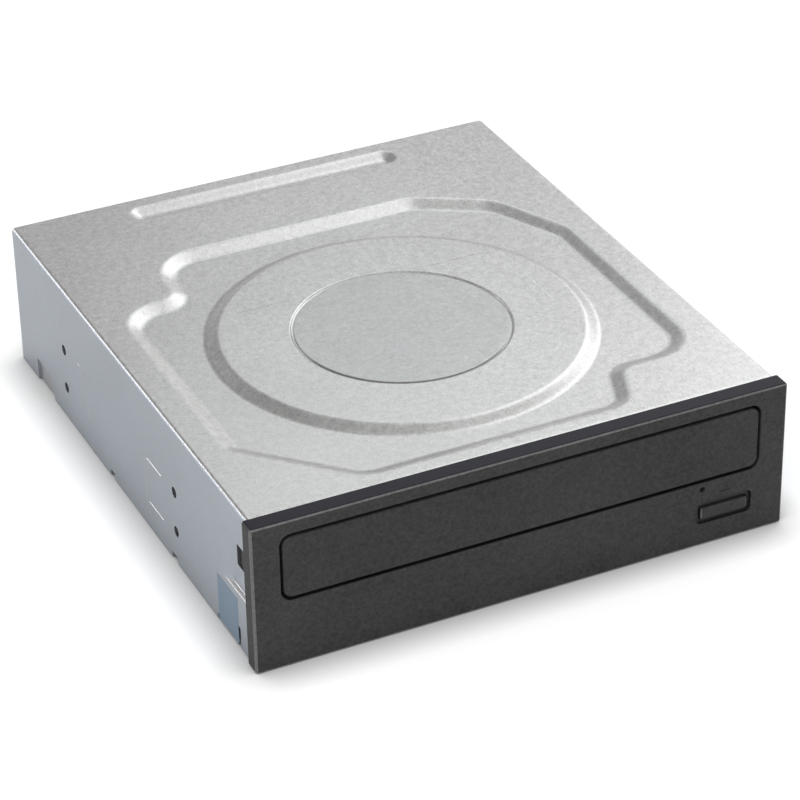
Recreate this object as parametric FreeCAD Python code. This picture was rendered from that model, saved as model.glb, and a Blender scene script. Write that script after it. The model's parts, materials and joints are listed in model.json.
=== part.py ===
import FreeCAD, Part
import math
import os

Vector = FreeCAD.Vector

# An internal tray-loading disc drive of the half-height 5.25 inch size.
# Frame: +X to the right seen from the front, the front faces -Y, +Z up.
# The origin is the middle of the footprint, on the plane that the bezel stands on.
# All sizes are in millimetres.

# Disc that the drive takes
DISC_D = 120.0
DISC_T = 1.2

# Case and bezel
SIDE_ROOM = 3.35
LID_ROOM = 1.7
BEZEL_OVERHANG = 1.0
BEZEL_OVERHANG_Z = 0.35
BEZEL_T = 5.0
BEZEL_WALL = 2.0
BEZEL_EDGE_R = 0.8
SHEET = 0.8
BEND_R = 1.2

# Clearances
RUN = 0.3
SHAFT_RUN = 0.05
HOOK_PLAY = 0.2

# Pressings of the lid: recessed panel, raised ring, recess of the damping pad, rear bead
PANEL_DEPTH = 2.0
PANEL_SLOPE = 5.0
RING_SLOPE = 4.4
RING_MARGIN = 8.1
PAD_MARGIN = 19.4
PAD_T = 0.45
PAD_RECESS = 0.5
PAD_GAP = 0.6
BEAD_END_FLAT = 0.3
BEAD_L = 82.0
BEAD_W = 8.6
BEAD_DEPTH = 1.5
BEAD_SLOPE = 2.4
BEAD_INSET = 9.35

# Recessed panel: margins to the case sides and the case front, and its steps and corner cuts
PANEL_LEFT = 7.7
PANEL_RIGHT = 8.0
PANEL_FRONT = 4.2
PANEL_REAR = 64.3
STEP_LEFT = (18.1, 22.6)
STEP_RIGHT = (23.5, 6.5, 16.6)
CUT_REAR = (32.0, 11.0, 12.7, 36.3)
CUT_FRONT = (25.8, 26.6)

# Section of a drawn wall, as shares of its width and of its depth
WALL_PROFILE = [(0.0, 0.0), (0.2, 0.06), (0.8, 0.94), (1.0, 1.0)]

# Screw holes of the drive bay standard
HOLE_R = 1.5
HOLE_FIRST = 47.4
HOLE_PITCH = 79.25
HOLE_LOW = 10.0
HOLE_RISE = 11.84
BOTTOM_HOLE_INSET = 3.15
COLLAR_R = 2.3
COLLAR_H = 1.2

# Side pocket of the bezel latch, from the front edge and the bottom edge of the case
POCKET_L = 17.0
POCKET_RAMP = 6.0
POCKET_LOW = 16.3
POCKET_TOP = 31.0
POCKET_DEPTH = 1.2
LATCH_FRONT = 4.8
LATCH_L = 4.4
LATCH_LOW = 23.0
LATCH_H = 6.0
LATCH_ARM = 1.5
FOOT_LATCH_FRONT = 6.5
FOOT_LATCH_L = 2.0
FOOT_LATCH_H = 6.0

# Notches in the lower edge of the case sides: distance from the front edge, length, height
EDGE_NOTCHES = [(19.9, 1.2, 1.6), (47.6, 3.8, 1.8), (92.0, 3.0, 1.8)]
REAR_NOTCH = (138.0, 13.0, 6.5)

# Bottom cover
FLANGE_H = 26.5
FLANGE_FRONT = 9.4
REAR_WALL_LAP = 3.7
LID_REAR_FLANGE = 10.0
DIMPLE_DEPTH = 1.6
SCREW_HEAD_R = 2.7
SCREW_HEAD_T = 1.3
BOSS_FOOT_R = 5.1
SCREW_R = 1.3
SCREW_L = 9.0
CORNER_SCREW_SIDE = 6.35
CORNER_SCREW_INSET = 10.0
REAR_SCREW_INSET = 25.0

# Floor panel that stiffens the bottom cover
FLOOR_PANEL_W = 95.0
FLOOR_PANEL_L = 60.0

# Main board
BOARD_LIFT = 2.4
BOARD_T = 1.2
BOARD_L = 68.0
BOARD_SIDE_GAP = 0.8
BOARD_REAR_GAP = 2.0
BOARD_NOTCH = 4.2
BOARD_POST_FRONT = (10.15, 8.0)
BOARD_POST_REAR = (22.15, 54.0)
# Chips and sockets on the board: x, distance from its front edge, width, depth, height
CHIPS = [
    (8.0, 38.0, 16.0, 16.0, 1.4),
    (-18.0, 36.0, 12.0, 9.0, 1.2),
    (32.0, 30.0, 14.0, 10.0, 1.3),
    (-40.0, 38.0, 8.0, 8.0, 1.4),
    (-28.0, 4.0, 26.0, 4.0, 1.4),
    (22.0, 4.0, 18.0, 4.0, 1.4),
    (58.0, 24.0, 6.0, 9.0, 1.4),
]

# Rear plug and the flat cable to the front board
PLUG_W = 40.0
PLUG_H = 7.0
PLUG_L = 10.0
PLUG_SIDE = 24.15
RIBBON_W = 7.0
RIBBON_T = 0.25
RIBBON_RISE = 4.0
RIBBON_END = 3.0

# Tray, its door and its rack
DISC_PLAY = 0.5
TRAY_RIM = 4.0
TRAY_SIDE_GAP = 0.5
TRAY_REAR_GAP = 5.4
TRAY_H = 7.5
TRAY_WALL = 1.6
TRAY_FLOOR = 1.2
SMALL_DISC_R = 40.6
SMALL_DISC_STEP = 0.8
SLOT_HALF = 21.0
TRAY_TRAVEL = 138.0
RACK_SPARE = 2.0
DOOR_T = 2.4
DOOR_GAP = 0.6
DOOR_LIP = 3.0
DOOR_LIP_IN = 5.0
APERTURE_SIDE = 2.0
APERTURE_UNDER = 0.95
APERTURE_OVER = 5.55
APERTURE_R = 3.0
RACK_H = 5.0
RACK_BACK = 3.5
RACK_INSET = 12.5

# Loading gears
RACK_MODULE = 1.0
RACK_TEETH = 20
WHEEL_MODULE = 0.8
WHEEL_TEETH = 40
PINION_TEETH = 12
WHEEL_T = 3.6
PULLEY_R = 9.0
PULLEY_T = 3.5
BELT_T = 1.2
BELT_RUN = 0.1
MOTOR_PULLEY_R = 2.5
BELT_CENTRES = 26.0
GEAR_AXLE_R = 1.5
GEAR_FRONT = 18.0
MOTOR_CAM_GAP = 0.5
LOAD_MOTOR_R = 11.0
LOAD_MOTOR_H = 12.4
MOTOR_SHAFT_R = 1.0
MOTOR_EDGE = 0.8

# Chassis
DECK_T = 1.6
CHASSIS_WALL = 1.8
RAIL_T = 1.5
RAIL_LIP = 1.8
RIB_T = 1.2
DECK_LEDGE = 15.85
WINDOW_AHEAD = 32.6
WINDOW_REAR = 17.0
DECK_GAP_W = 42.15
UPRIGHT_T = 3.3
FRONT_SHELF_T = 1.25
FRONT_BOARD_UP = 2.3

# Lift frame on its rear pivot, moved by the cam slider at its front
FRAME_SIDE_GAP = 1.3
FRAME_AHEAD = 26.3
FRAME_REAR = 21.0
FRAME_WALL = 2.5
FRAME_H = 6.0
FRAME_LIFT = 9.45
PIVOT_R = 2.0
PIVOT_L = 3.0
PIVOT_FROM_REAR = 23.0
LIFT_ANGLE = 4.6
CAM_TRAVEL = 14.0
CAM_T = 2.0
CAM_FLANGE_W = 7.6
CAM_FLANGE_T = 1.5
CAM_PIN_R = 1.4
CAM_PIN_X = 25.0
CAM_SLOT_RUN = 0.35
CAM_GAP = 0.9
CAM_END = 6.0

# Traverse with spindle, rods and sled
PLATE_T = 1.2
DAMPER_SIDE = 8.0
DAMPER_INSET = 8.0
DAMPER_R = 4.0
DAMPER_NECK_R = 2.6
DAMPER_LIP = 1.4
DAMPER_SEAT = 2.0
ROD_X = 26.0
MAIN_ROD_R = 1.5
SUB_ROD_R = 1.2
ROD_LIFT = 2.3
ROD_BEARING_WALL = 1.8
LEAD_R = 1.5
LEAD_GROOVE = 0.35
SLED_MOTOR_R = 5.5
SLED_MOTOR_L = 12.0
SLED_START = 24.0
SLED_TRAVEL = 34.0
PICKUP_FRONT = 14.0
PICKUP_REAR = 11.0
NUT_L = 8.0
LENS_R = 2.3
PICKUP_TOP = 3.2
LENS_COVER_W = 15.0
LENS_COVER_L = 17.0
LENS_COVER_H = 2.6
LENS_COVER_FLOOR = 0.8

# Spindle and clamp
ROTOR_R = 14.2
ROTOR_WALL = 1.0
ROTOR_EDGE = 0.6
PLATTER_R = 16.5
PLATTER_T = 2.3
SEAT_T = 0.7
DISC_LIFT = 1.65
CONE_R = 7.4
CONE_H = 2.2
SPINDLE_R = 1.5
CLAMP_HUB_R = 13.0
CLAMP_FLANGE_R = 17.0
CLAMP_FLANGE_T = 1.6
BRIDGE_T = 1.0
BRIDGE_HALF = 16.0
BRIDGE_SCREW_OUT = 0.6
BRIDGE_HEAD_R = 2.3
BRIDGE_SCREW_L = 6.0
YOKE_R = 9.0
YOKE_T = 1.0

# Front panel: eject button, emergency hole, status lens
BUTTON_SIDE = 17.4
BUTTON_Z = 9.3
BUTTON_W = 13.4
BUTTON_H = 3.4
BUTTON_RECESS_W = 15.9
BUTTON_RECESS_H = 6.4
BUTTON_RECESS_UP = 0.3
BUTTON_RECESS_DEPTH = 1.0
BUTTON_GAP = 0.25
BUTTON_TRAVEL = 0.8
STEM_END = 0.1
EJECT_HOLE_SIDE = 24.0
FRONT_MARK_DROP = 2.1
EJECT_HOLE_R = 0.75
STATUS_SIDE = 30.6
STATUS_R = 0.8

# Blank strip of tape over the left lower seam
TAPE_FRONT = 7.7
TAPE_L = 12.7
TAPE_H = 13.3
TAPE_T = 0.12

# Widths, from the disc outwards
DISC_POCKET_R = DISC_D / 2 + DISC_PLAY
TRAY_W = 2 * (DISC_POCKET_R + TRAY_RIM)
X_GUIDE = TRAY_W / 2 + TRAY_SIDE_GAP
X_GUIDE_OUT = X_GUIDE + CHASSIS_WALL
X_CHASSIS = X_GUIDE_OUT + SIDE_ROOM
X_ROOM = X_CHASSIS + SHAFT_RUN + COLLAR_H
X_LINER = X_ROOM + SHEET
X_CASE = X_LINER + SHEET
BEZEL_W = 2 * (X_CASE + BEZEL_OVERHANG)
APERTURE_W = TRAY_W + 2 * APERTURE_SIDE
WINDOW_W = 2 * (X_CHASSIS - DECK_LEDGE)
FRAME_W = WINDOW_W - 2 * FRAME_SIDE_GAP
DECK_RIGHT = X_CHASSIS - DECK_GAP_W
DAMPER_X = FRAME_W / 2 - DAMPER_SIDE
BOTTOM_HOLE_X = X_CASE - BOTTOM_HOLE_INSET
CORNER_SCREW_X = X_CHASSIS - CHASSIS_WALL - CORNER_SCREW_SIDE
BUTTON_X = BEZEL_W / 2 - BUTTON_SIDE
EJECT_HOLE_X = BEZEL_W / 2 - EJECT_HOLE_SIDE
STATUS_X = BEZEL_W / 2 - STATUS_SIDE
X_FRONT_BOARD = STATUS_X - STATUS_R - RUN
X_UPRIGHT = X_FRONT_BOARD - UPRIGHT_T
PLUG_X = -(X_CHASSIS - PLUG_SIDE)
X_GEAR = -(TRAY_W / 2 - RACK_INSET) + RACK_MODULE * RACK_TEETH / 2
X_SCREW = ROD_X + MAIN_ROD_R + ROD_BEARING_WALL + RUN + SLED_MOTOR_R

# Heights, from the floor upwards
Z_CASE = BEZEL_OVERHANG_Z
Z_FLOOR = Z_CASE + SHEET
Z_BOARD = Z_FLOOR + BOARD_LIFT
Z_DECK = Z_FLOOR + LOAD_MOTOR_H + RUN
Z_WHEEL = Z_DECK + DECK_T + RUN
Z_RACK = Z_WHEEL + WHEEL_T + 2 * RUN
Z_TRAY = Z_RACK + RACK_H
Z_RIM = Z_TRAY + TRAY_H
Z_SMALL = Z_TRAY + TRAY_FLOOR
Z_LEDGE = Z_SMALL + SMALL_DISC_STEP
Z_SEAT = Z_LEDGE + DISC_LIFT
Z_WALL = Z_RIM + RUN + RAIL_T
Z_CLAMP = Z_WALL + BRIDGE_T + RUN + CLAMP_FLANGE_T
Z_LID = Z_CLAMP + LID_ROOM + PANEL_DEPTH + SHEET
CASE_H = Z_LID - Z_CASE
BEZEL_H = Z_LID + BEZEL_OVERHANG_Z
REAR_WALL_H = CASE_H - LID_REAR_FLANGE + REAR_WALL_LAP
APERTURE_LOW = Z_RACK - APERTURE_UNDER
APERTURE_TOP = Z_RIM + APERTURE_OVER
FRONT_MARK_Z = APERTURE_LOW - FRONT_MARK_DROP
Z_FRAME = Z_FLOOR + FRAME_LIFT
Z_PIVOT = Z_FRAME + FRAME_H * 0.4
Z_PLATE = Z_FRAME + DAMPER_LIP + DAMPER_SEAT
Z_ROD = Z_PLATE + PLATE_T + ROD_LIFT

# Lengths, from the front backwards: gear and motor, cam, lift frame, spindle, tray end, rear wall
TRAY_L = BEZEL_T + GEAR_FRONT + TRAY_TRAVEL + RACK_SPARE - DOOR_T
CASE_L = DOOR_T + TRAY_L + TRAY_REAR_GAP + 2 * SHEET - BEZEL_T
Y_FRONT = -(CASE_L + BEZEL_T) / 2
Y_CASE = Y_FRONT + BEZEL_T
Y_REAR = Y_CASE + CASE_L
Y_GEAR = Y_CASE + GEAR_FRONT
Y_CAM = Y_GEAR + LOAD_MOTOR_R + MOTOR_CAM_GAP + CAM_FLANGE_W
Y_FRAME = Y_CAM + CAM_T + CAM_GAP
SPINDLE_Y = Y_FRAME + FRAME_AHEAD
Y_PIVOT = Y_REAR - PIVOT_FROM_REAR
Y_LENS = SPINDLE_Y + SLED_START

# Pressings of the lid, from the case sides inwards
RING_R = X_CASE - PANEL_LEFT - PANEL_SLOPE - RING_SLOPE - RING_MARGIN
PAD_R = RING_R - PAD_MARGIN


# Basic solids

def box(x0, x1, y0, y1, z0, z1):
    """A block between two corners."""
    return Part.makeBox(x1 - x0, y1 - y0, z1 - z0, Vector(x0, y0, z0))


def post(r, x, y, z0, z1):
    """An upright cylinder."""
    return Part.makeCylinder(r, z1 - z0, Vector(x, y, z0))


def cone(r0, r1, x, y, z0, z1):
    """An upright cone frustum."""
    return Part.makeCone(r0, r1, z1 - z0, Vector(x, y, z0))


def rod_x(r, x0, x1, y, z):
    """A cylinder along X."""
    return Part.makeCylinder(r, x1 - x0, Vector(x0, y, z), Vector(1, 0, 0))


def rod_y(r, x, y0, y1, z):
    """A cylinder along Y."""
    return Part.makeCylinder(r, y1 - y0, Vector(x, y0, z), Vector(0, 1, 0))


def ring(r_out, r_in, x, y, z0, z1):
    """An upright tube."""
    return post(r_out, x, y, z0, z1).cut(post(r_in, x, y, z0, z1))


def join(shapes):
    """One solid from several that touch."""
    return shapes[0].fuse(shapes[1:]).removeSplitter()


def mirrored(shape):
    """The same shape on the other side of the centre plane."""
    return shape.mirror(Vector(0, 0, 0), Vector(1, 0, 0))


def both_sides(shape):
    """A shape and its mirror image."""
    return [shape, mirrored(shape)]


def save(name, shapes):
    """Write one node, made of one solid or of a group of separate solids."""
    solids = [s for shape in shapes for s in shape.Solids]
    Part.makeCompound(solids).exportStep("parts/" + name + ".step")


# Outlines with rounded corners

def unit(a, b):
    """Direction from a to b in the plane."""
    length = math.hypot(b[0] - a[0], b[1] - a[1])
    return ((b[0] - a[0]) / length, (b[1] - a[1]) / length)


def inset(outline, width):
    """A clockwise outline moved inwards by a width, with its corner radii to match."""
    moved = []
    count = len(outline)
    for i, (x, y, r) in enumerate(outline):
        d0 = unit(outline[i - 1], outline[i])
        d1 = unit(outline[i], outline[(i + 1) % count])
        cross = d0[0] * d1[1] - d0[1] * d1[0]
        along = width * (1 - d0[0] * d1[0] - d0[1] * d1[1]) / cross
        moved.append((x + width * d0[1] + along * d0[0], y - width * d0[0] + along * d0[1], r - width))
    return moved


def outline_edges(outline, z, centre=(0.0, 0.0)):
    """The straight runs and corner arcs of an outline at one height, in order."""
    edges = []
    ends = []
    count = len(outline)
    for i, (x, y, r) in enumerate(outline):
        d0 = unit(outline[i - 1], outline[i])
        d1 = unit(outline[i], outline[(i + 1) % count])
        turn = math.acos(d0[0] * d1[0] + d0[1] * d1[1])
        reach = abs(r) * math.tan(turn / 2)
        start = (x - d0[0] * reach, y - d0[1] * reach)
        end = (x + d1[0] * reach, y + d1[1] * reach)
        bulge = abs(r) * (1 / math.cos(turn / 2) - 1)
        to_mid = unit((x, y), ((start[0] + end[0]) / 2, (start[1] + end[1]) / 2))
        middle = (x + to_mid[0] * bulge, y + to_mid[1] * bulge)
        ends.append([Vector(p[0] + centre[0], p[1] + centre[1], z) for p in (start, middle, end)])
    for i, (start, middle, end) in enumerate(ends):
        edges.append(Part.LineSegment(ends[i - 1][2], start).toShape())
        edges.append(Part.Arc(start, middle, end).toShape())
    return edges


def outline_wire(outline, z, centre=(0.0, 0.0)):
    """A closed wire round an outline."""
    return Part.Wire(outline_edges(outline, z, centre))


def rectangle(w, h, r):
    """A clockwise rectangle outline with rounded corners."""
    return [(-w / 2, h / 2, r), (w / 2, h / 2, r), (w / 2, -h / 2, r), (-w / 2, -h / 2, r)]


def plate(outline, z0, z1, centre=(0.0, 0.0)):
    """A flat solid with a rounded outline."""
    return Part.Face(outline_wire(outline, z0, centre)).extrude(Vector(0, 0, z1 - z0))


def front_plate(outline, y0, y1, x, z):
    """A rounded outline drawn on the front, from depth y0 to y1, centred on x and z."""
    flat = plate(outline, 0, y1 - y0)
    flat.rotate(Vector(0, 0, 0), Vector(1, 0, 0), 90)
    flat.translate(Vector(x, y1, z))
    return flat


def pressing(outline, slope, z_top, depth, centre):
    """The solid that a drawn recess takes away: rounded outline, sloping wall, flat floor."""
    levels = [outline_wire(outline, z_top + SHEET, centre)]
    for across, down in WALL_PROFILE:
        levels.append(outline_wire(inset(outline, slope * across), z_top - depth * down, centre))
    return Part.makeLoft(levels, True, True)


# Gear teeth

def tooth_outline(module, teeth, phase):
    """Corner points of a spur gear with straight-sided teeth."""
    pitch_r = module * teeth / 2
    points = []
    for i in range(teeth):
        middle = phase + i * 2 * math.pi / teeth
        for radius, half in (
                (pitch_r - 1.25 * module, -0.62 * module),
                (pitch_r, -0.62 * module),
                (pitch_r + 0.8 * module, -0.3 * module),
                (pitch_r + 0.8 * module, 0.3 * module),
                (pitch_r, 0.62 * module),
                (pitch_r - 1.25 * module, 0.62 * module)):
            angle = middle + half / pitch_r
            points.append((radius * math.cos(angle), radius * math.sin(angle)))
    return points


def gear(module, teeth, x, y, z0, z1, phase):
    """A spur gear blank with its teeth."""
    points = [Vector(x + px, y + py, z0) for px, py in tooth_outline(module, teeth, phase)]
    return Part.Face(Part.makePolygon(points + points[:1])).extrude(Vector(0, 0, z1 - z0))


def rack(module, x_pitch, x_back, y0, y1, y_tooth, z0, z1):
    """A rack whose teeth point to +X; one of its gaps is centred on y_tooth."""
    pitch = math.pi * module
    root = x_pitch - 1.25 * module
    tip = x_pitch + 0.8 * module
    points = [Vector(x_back, y0, z0), Vector(root, y0, z0)]
    first = math.ceil((y0 + pitch / 2 - y_tooth) / pitch - 0.5)
    last = math.floor((y1 - pitch / 2 - y_tooth) / pitch - 0.5)
    for i in range(first, last + 1):
        y = y_tooth + (i + 0.5) * pitch
        for x, half in ((root, -0.95), (tip, -0.3), (tip, 0.3), (root, 0.95)):
            points.append(Vector(x, y + half * module, z0))
    points += [Vector(root, y1, z0), Vector(x_back, y1, z0)]
    return Part.Face(Part.makePolygon(points + points[:1])).extrude(Vector(0, 0, z1 - z0))


# Drawn lid

def panel_outline():
    """Corners of the recessed panel round the spindle axis; a negative radius is an inward corner."""
    left = -X_CASE + PANEL_LEFT
    right = X_CASE - PANEL_RIGHT
    front = Y_CASE + PANEL_FRONT - SPINDLE_Y
    step_y = PANEL_REAR - STEP_LEFT[1]
    return [
        (left, step_y, 13.0),
        (left + STEP_LEFT[0], step_y, -4.0),
        (left + STEP_LEFT[0], PANEL_REAR, 14.0),
        (right - CUT_REAR[0], PANEL_REAR, 12.0),
        (right - CUT_REAR[1], PANEL_REAR - CUT_REAR[2], 14.0),
        (right, PANEL_REAR - CUT_REAR[3], 12.0),
        (right, front + STEP_RIGHT[2], 13.0),
        (right - STEP_RIGHT[0], front + STEP_RIGHT[2], -4.0),
        (right - STEP_RIGHT[0] - STEP_RIGHT[1], front, 9.0),
        (left + CUT_FRONT[0], front, 12.0),
        (left, front + CUT_FRONT[1], 7.0)]


def lid_form(depth):
    """The outside of the lid, moved inwards by a depth and open at the front and the bottom."""
    x = X_CASE - depth
    top = Z_LID - depth
    form = box(-x, x, Y_CASE - depth, Y_REAR - depth, Z_CASE - depth, top)
    bend = max(BEND_R - depth, 0.2)
    folds = [e for e in form.Edges if is_fold(e, top)]
    form = form.makeFillet(bend, folds)
    centre = (0.0, SPINDLE_Y)
    panel_shift = depth * math.tan(math.atan2(PANEL_DEPTH, PANEL_SLOPE) / 2)
    panel = pressing(inset(panel_outline(), -panel_shift), PANEL_SLOPE, top, PANEL_DEPTH, centre)
    ring_shift = depth * math.tan(math.atan2(PANEL_DEPTH, RING_SLOPE) / 2)
    recess = panel.cut(ring_form(RING_R - ring_shift, top))
    pad = post(PAD_R + PAD_GAP + depth, 0, SPINDLE_Y, top - PAD_RECESS, top + SHEET)
    bead_shift = depth * math.tan(math.atan2(BEAD_DEPTH, BEAD_SLOPE) / 2)
    bead_outline = rectangle(BEAD_L, BEAD_W, BEAD_W / 2 - BEAD_END_FLAT)
    bead = pressing(inset(bead_outline, -bead_shift), BEAD_SLOPE, top, BEAD_DEPTH, (0.0, Y_REAR - BEAD_INSET))
    form = form.cut([recess, pad, bead])
    return form.cut(both_sides(pocket_form(depth)))


def ring_form(r, top):
    """The raised ring as cones with the section of a drawn wall, and the room above it."""
    cones = []
    for (across0, down0), (across1, down1) in zip(WALL_PROFILE, WALL_PROFILE[1:]):
        cones.append(cone(
            r + RING_SLOPE * across1, r + RING_SLOPE * across0, 0, SPINDLE_Y,
            top - PANEL_DEPTH * down1, top - PANEL_DEPTH * down0))
    return cones + [post(r, 0, SPINDLE_Y, top, top + SHEET)]


def is_fold(edge, top):
    """True for the upper edges along both sides and the rear of the block."""
    box_ = edge.BoundBox
    flat = abs(box_.ZMin - top) < 0.01 and abs(box_.ZMax - top) < 0.01
    return flat and box_.YMax > Y_CASE


def pocket_form(depth):
    """The pocket pressed into the right side for the bezel latch, with its ramp."""
    x_out = X_CASE + SHEET
    x_in = X_CASE - depth - POCKET_DEPTH
    z0 = Z_CASE + POCKET_LOW - depth
    z1 = Z_CASE + POCKET_TOP + depth
    y0 = Y_CASE - SHEET - depth
    y_ramp = Y_CASE + POCKET_L - POCKET_RAMP
    y_end = Y_CASE + POCKET_L + depth
    points = [
        Vector(x_in, y0, z0), Vector(x_in, y_ramp, z0), Vector(X_CASE - depth, y_end, z0),
        Vector(x_out, y_end, z0), Vector(x_out, y0, z0)]
    return Part.Face(Part.makePolygon(points + points[:1])).extrude(Vector(0, 0, z1 - z0))


def side_hole_places():
    """Y and Z of the four screw holes in each side."""
    return [
        (Y_CASE + HOLE_FIRST + i * HOLE_PITCH, Z_CASE + HOLE_LOW + j * HOLE_RISE)
        for i in range(2) for j in range(2)]


def bottom_hole_places():
    """X and Y of the four screw holes in the bottom."""
    return [
        (side * BOTTOM_HOLE_X, Y_CASE + HOLE_FIRST + i * HOLE_PITCH)
        for side in (-1, 1) for i in range(2)]


def edge_cuts(notches):
    """Cutters for notches in the lower edges of both sides."""
    cuts = []
    for start, length, height in notches:
        y0 = Y_CASE + start
        cuts += both_sides(box(X_ROOM - SHEET, X_CASE + 1, y0, y0 + length, Z_CASE - 1, Z_CASE + height))
    return cuts


def top_cover():
    """Lid and sides of the case: one drawn and folded sheet."""
    sheet = lid_form(0).cut(lid_form(SHEET))
    cuts = [rod_x(HOLE_R, -X_CASE - 1, X_CASE + 1, y, z) for y, z in side_hole_places()]
    latch_y = Y_CASE + LATCH_FRONT
    latch_z = Z_CASE + LATCH_LOW
    cuts += both_sides(box(X_ROOM - 2, X_CASE + 1, latch_y, latch_y + LATCH_L, latch_z, latch_z + LATCH_H))
    foot_notch = (FOOT_LATCH_FRONT, FOOT_LATCH_L, FOOT_LATCH_H)
    cuts += edge_cuts(EDGE_NOTCHES + [REAR_NOTCH, foot_notch])
    inner = X_LINER - BEND_R
    cuts.append(box(-inner, inner, Y_REAR - SHEET - 1, Y_REAR + 1, Z_CASE - 1, Z_LID - LID_REAR_FLANGE))
    return [sheet.cut(cuts)]


# Bottom cover

def corner_screw_places():
    """X and Y of the four screws that hold the bottom cover to the chassis."""
    rows = (Y_CASE + CORNER_SCREW_INSET, Y_REAR - REAR_SCREW_INSET)
    return [(side * CORNER_SCREW_X, y) for side in (-1, 1) for y in rows]


def board_post_places():
    """X and Y of the four supports of the main board."""
    places = []
    for side_gap, back in (BOARD_POST_FRONT, BOARD_POST_REAR):
        x = X_CHASSIS - side_gap
        y = board_front() + back
        places += [(-x, y), (x, y)]
    return places


def pressed_boss(r0, r1, x, y, height):
    """A hollow boss pressed up from the floor sheet, as skin and hollow."""
    skin = cone(r0 + SHEET, r1 + SHEET, x, y, Z_CASE, Z_FLOOR + height)
    hollow = cone(r0, r1, x, y, Z_CASE, Z_FLOOR + height - SHEET)
    return skin, hollow


def bottom_cover():
    """Floor, tapped side flanges and rear wall, folded from one sheet."""
    y0 = Y_CASE + SHEET
    y_rear = Y_REAR - SHEET
    floor = box(-X_LINER, X_LINER, y0, y_rear, Z_CASE, Z_FLOOR)
    flange = box(X_ROOM, X_LINER, Y_CASE + FLANGE_FRONT, y_rear, Z_CASE, Z_CASE + FLANGE_H)
    rear = box(-X_LINER, X_LINER, y_rear - SHEET, y_rear, Z_CASE, Z_CASE + REAR_WALL_H)
    solids = [floor, rear] + both_sides(flange)
    cuts = []
    for x, y in corner_screw_places():
        skin, hollow = pressed_boss(BOSS_FOOT_R - SHEET, BOSS_FOOT_R - SHEET - 1.0, x, y, DIMPLE_DEPTH)
        solids.append(skin)
        cuts += [hollow, post(SCREW_R + SHAFT_RUN, x, y, Z_CASE, Z_FLOOR + 5)]
    for x, y in board_post_places():
        skin, hollow = pressed_boss(4.2, 2.6, x, y, BOARD_LIFT)
        solids.append(skin)
        cuts += [hollow, post(SCREW_R, x, y, Z_CASE, Z_FLOOR + 5)]
    for y, z in side_hole_places():
        solids += both_sides(rod_x(COLLAR_R, X_ROOM - COLLAR_H, X_LINER, y, z))
        cuts.append(rod_x(HOLE_R, -X_CASE, X_CASE, y, z))
    for x, y in bottom_hole_places():
        solids.append(post(COLLAR_R, x, y, Z_CASE, Z_FLOOR + COLLAR_H))
        cuts.append(post(HOLE_R, x, y, Z_CASE - 1, Z_FLOOR + 5))
    pocket_end = Y_CASE + POCKET_L + SHEET + RUN
    cuts += both_sides(box(X_ROOM - 2, X_LINER + 1, y0, pocket_end, Z_CASE + POCKET_LOW - 2, Z_LID))
    cuts += edge_cuts(EDGE_NOTCHES)
    cuts.append(plug_opening())
    cuts += vent_slots()
    panel = pressing(rectangle(FLOOR_PANEL_W, FLOOR_PANEL_L, 8), 1.5, Z_FLOOR, 0.6, (0, 0))
    panel.rotate(Vector(0, 0, Z_FLOOR), Vector(0, 1, 0), 180)
    raised = panel.copy()
    raised.translate(Vector(0, Y_REAR - 70, 0))
    sunk = raised.copy()
    sunk.translate(Vector(0, 0, -SHEET))
    body = join(solids + [raised]).cut(cuts)
    return [body.cut(sunk)]


def plug_opening():
    """Cutter for the rear opening round the plug housing."""
    z0 = Z_BOARD + BOARD_T
    half = PLUG_W / 2 + RUN
    return box(PLUG_X - half, PLUG_X + half, Y_REAR - 3 * SHEET, Y_REAR + 1, z0 - RUN, z0 + PLUG_H + RUN)


def vent_slots():
    """Cutters for the row of upright vents in the rear wall."""
    slots = []
    for i in range(9):
        x = -6 + i * 7.0
        outline = rectangle(2.4, 11.0, 1.1)
        slots.append(front_plate(outline, Y_REAR - 3 * SHEET, Y_REAR, x, Z_CASE + 17))
    return slots


def cover_screws():
    """Four pan head screws from below."""
    z_head = Z_CASE + DIMPLE_DEPTH - SCREW_HEAD_T
    screws = []
    for x, y in corner_screw_places():
        head = post(SCREW_HEAD_R, x, y, z_head, z_head + SCREW_HEAD_T)
        head = head.makeChamfer(0.4, [head.Edges[2]])
        shank = post(SCREW_R, x, y, z_head + SCREW_HEAD_T, z_head + SCREW_HEAD_T + SCREW_L)
        screws.append(join([head, shank]))
    return screws


# Bezel

def bezel_shell():
    """Moulded front frame with a thin wall, a rim and a collar round the tray opening."""
    outer = box(-BEZEL_W / 2, BEZEL_W / 2, Y_FRONT, Y_CASE, 0, BEZEL_H)
    rim = [e for e in outer.Edges if e.BoundBox.YMin < Y_FRONT + 0.01]
    outer = outer.makeFillet(BEZEL_EDGE_R, rim)
    wall = BEZEL_WALL
    hollow = box(-BEZEL_W / 2 + wall, BEZEL_W / 2 - wall, Y_FRONT + wall, Y_CASE, wall, BEZEL_H - wall)
    w = APERTURE_W
    h = APERTURE_TOP - APERTURE_LOW
    z = (APERTURE_TOP + APERTURE_LOW) / 2
    collar_t = 1.2
    collar = front_plate(
        rectangle(w + 2 * collar_t, h + 2 * collar_t, APERTURE_R + collar_t), Y_FRONT + wall, Y_CASE, 0, z)
    opening = front_plate(rectangle(w, h, APERTURE_R), Y_FRONT - 1, Y_CASE + 1, 0, z)
    ribs = [
        box(x - 0.6, x + 0.6, Y_FRONT + wall, Y_CASE, wall, APERTURE_LOW - collar_t)
        for x in (-60, -40, -20, 0, 20, 36)]
    return outer.cut(hollow), [collar] + ribs, opening


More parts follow.
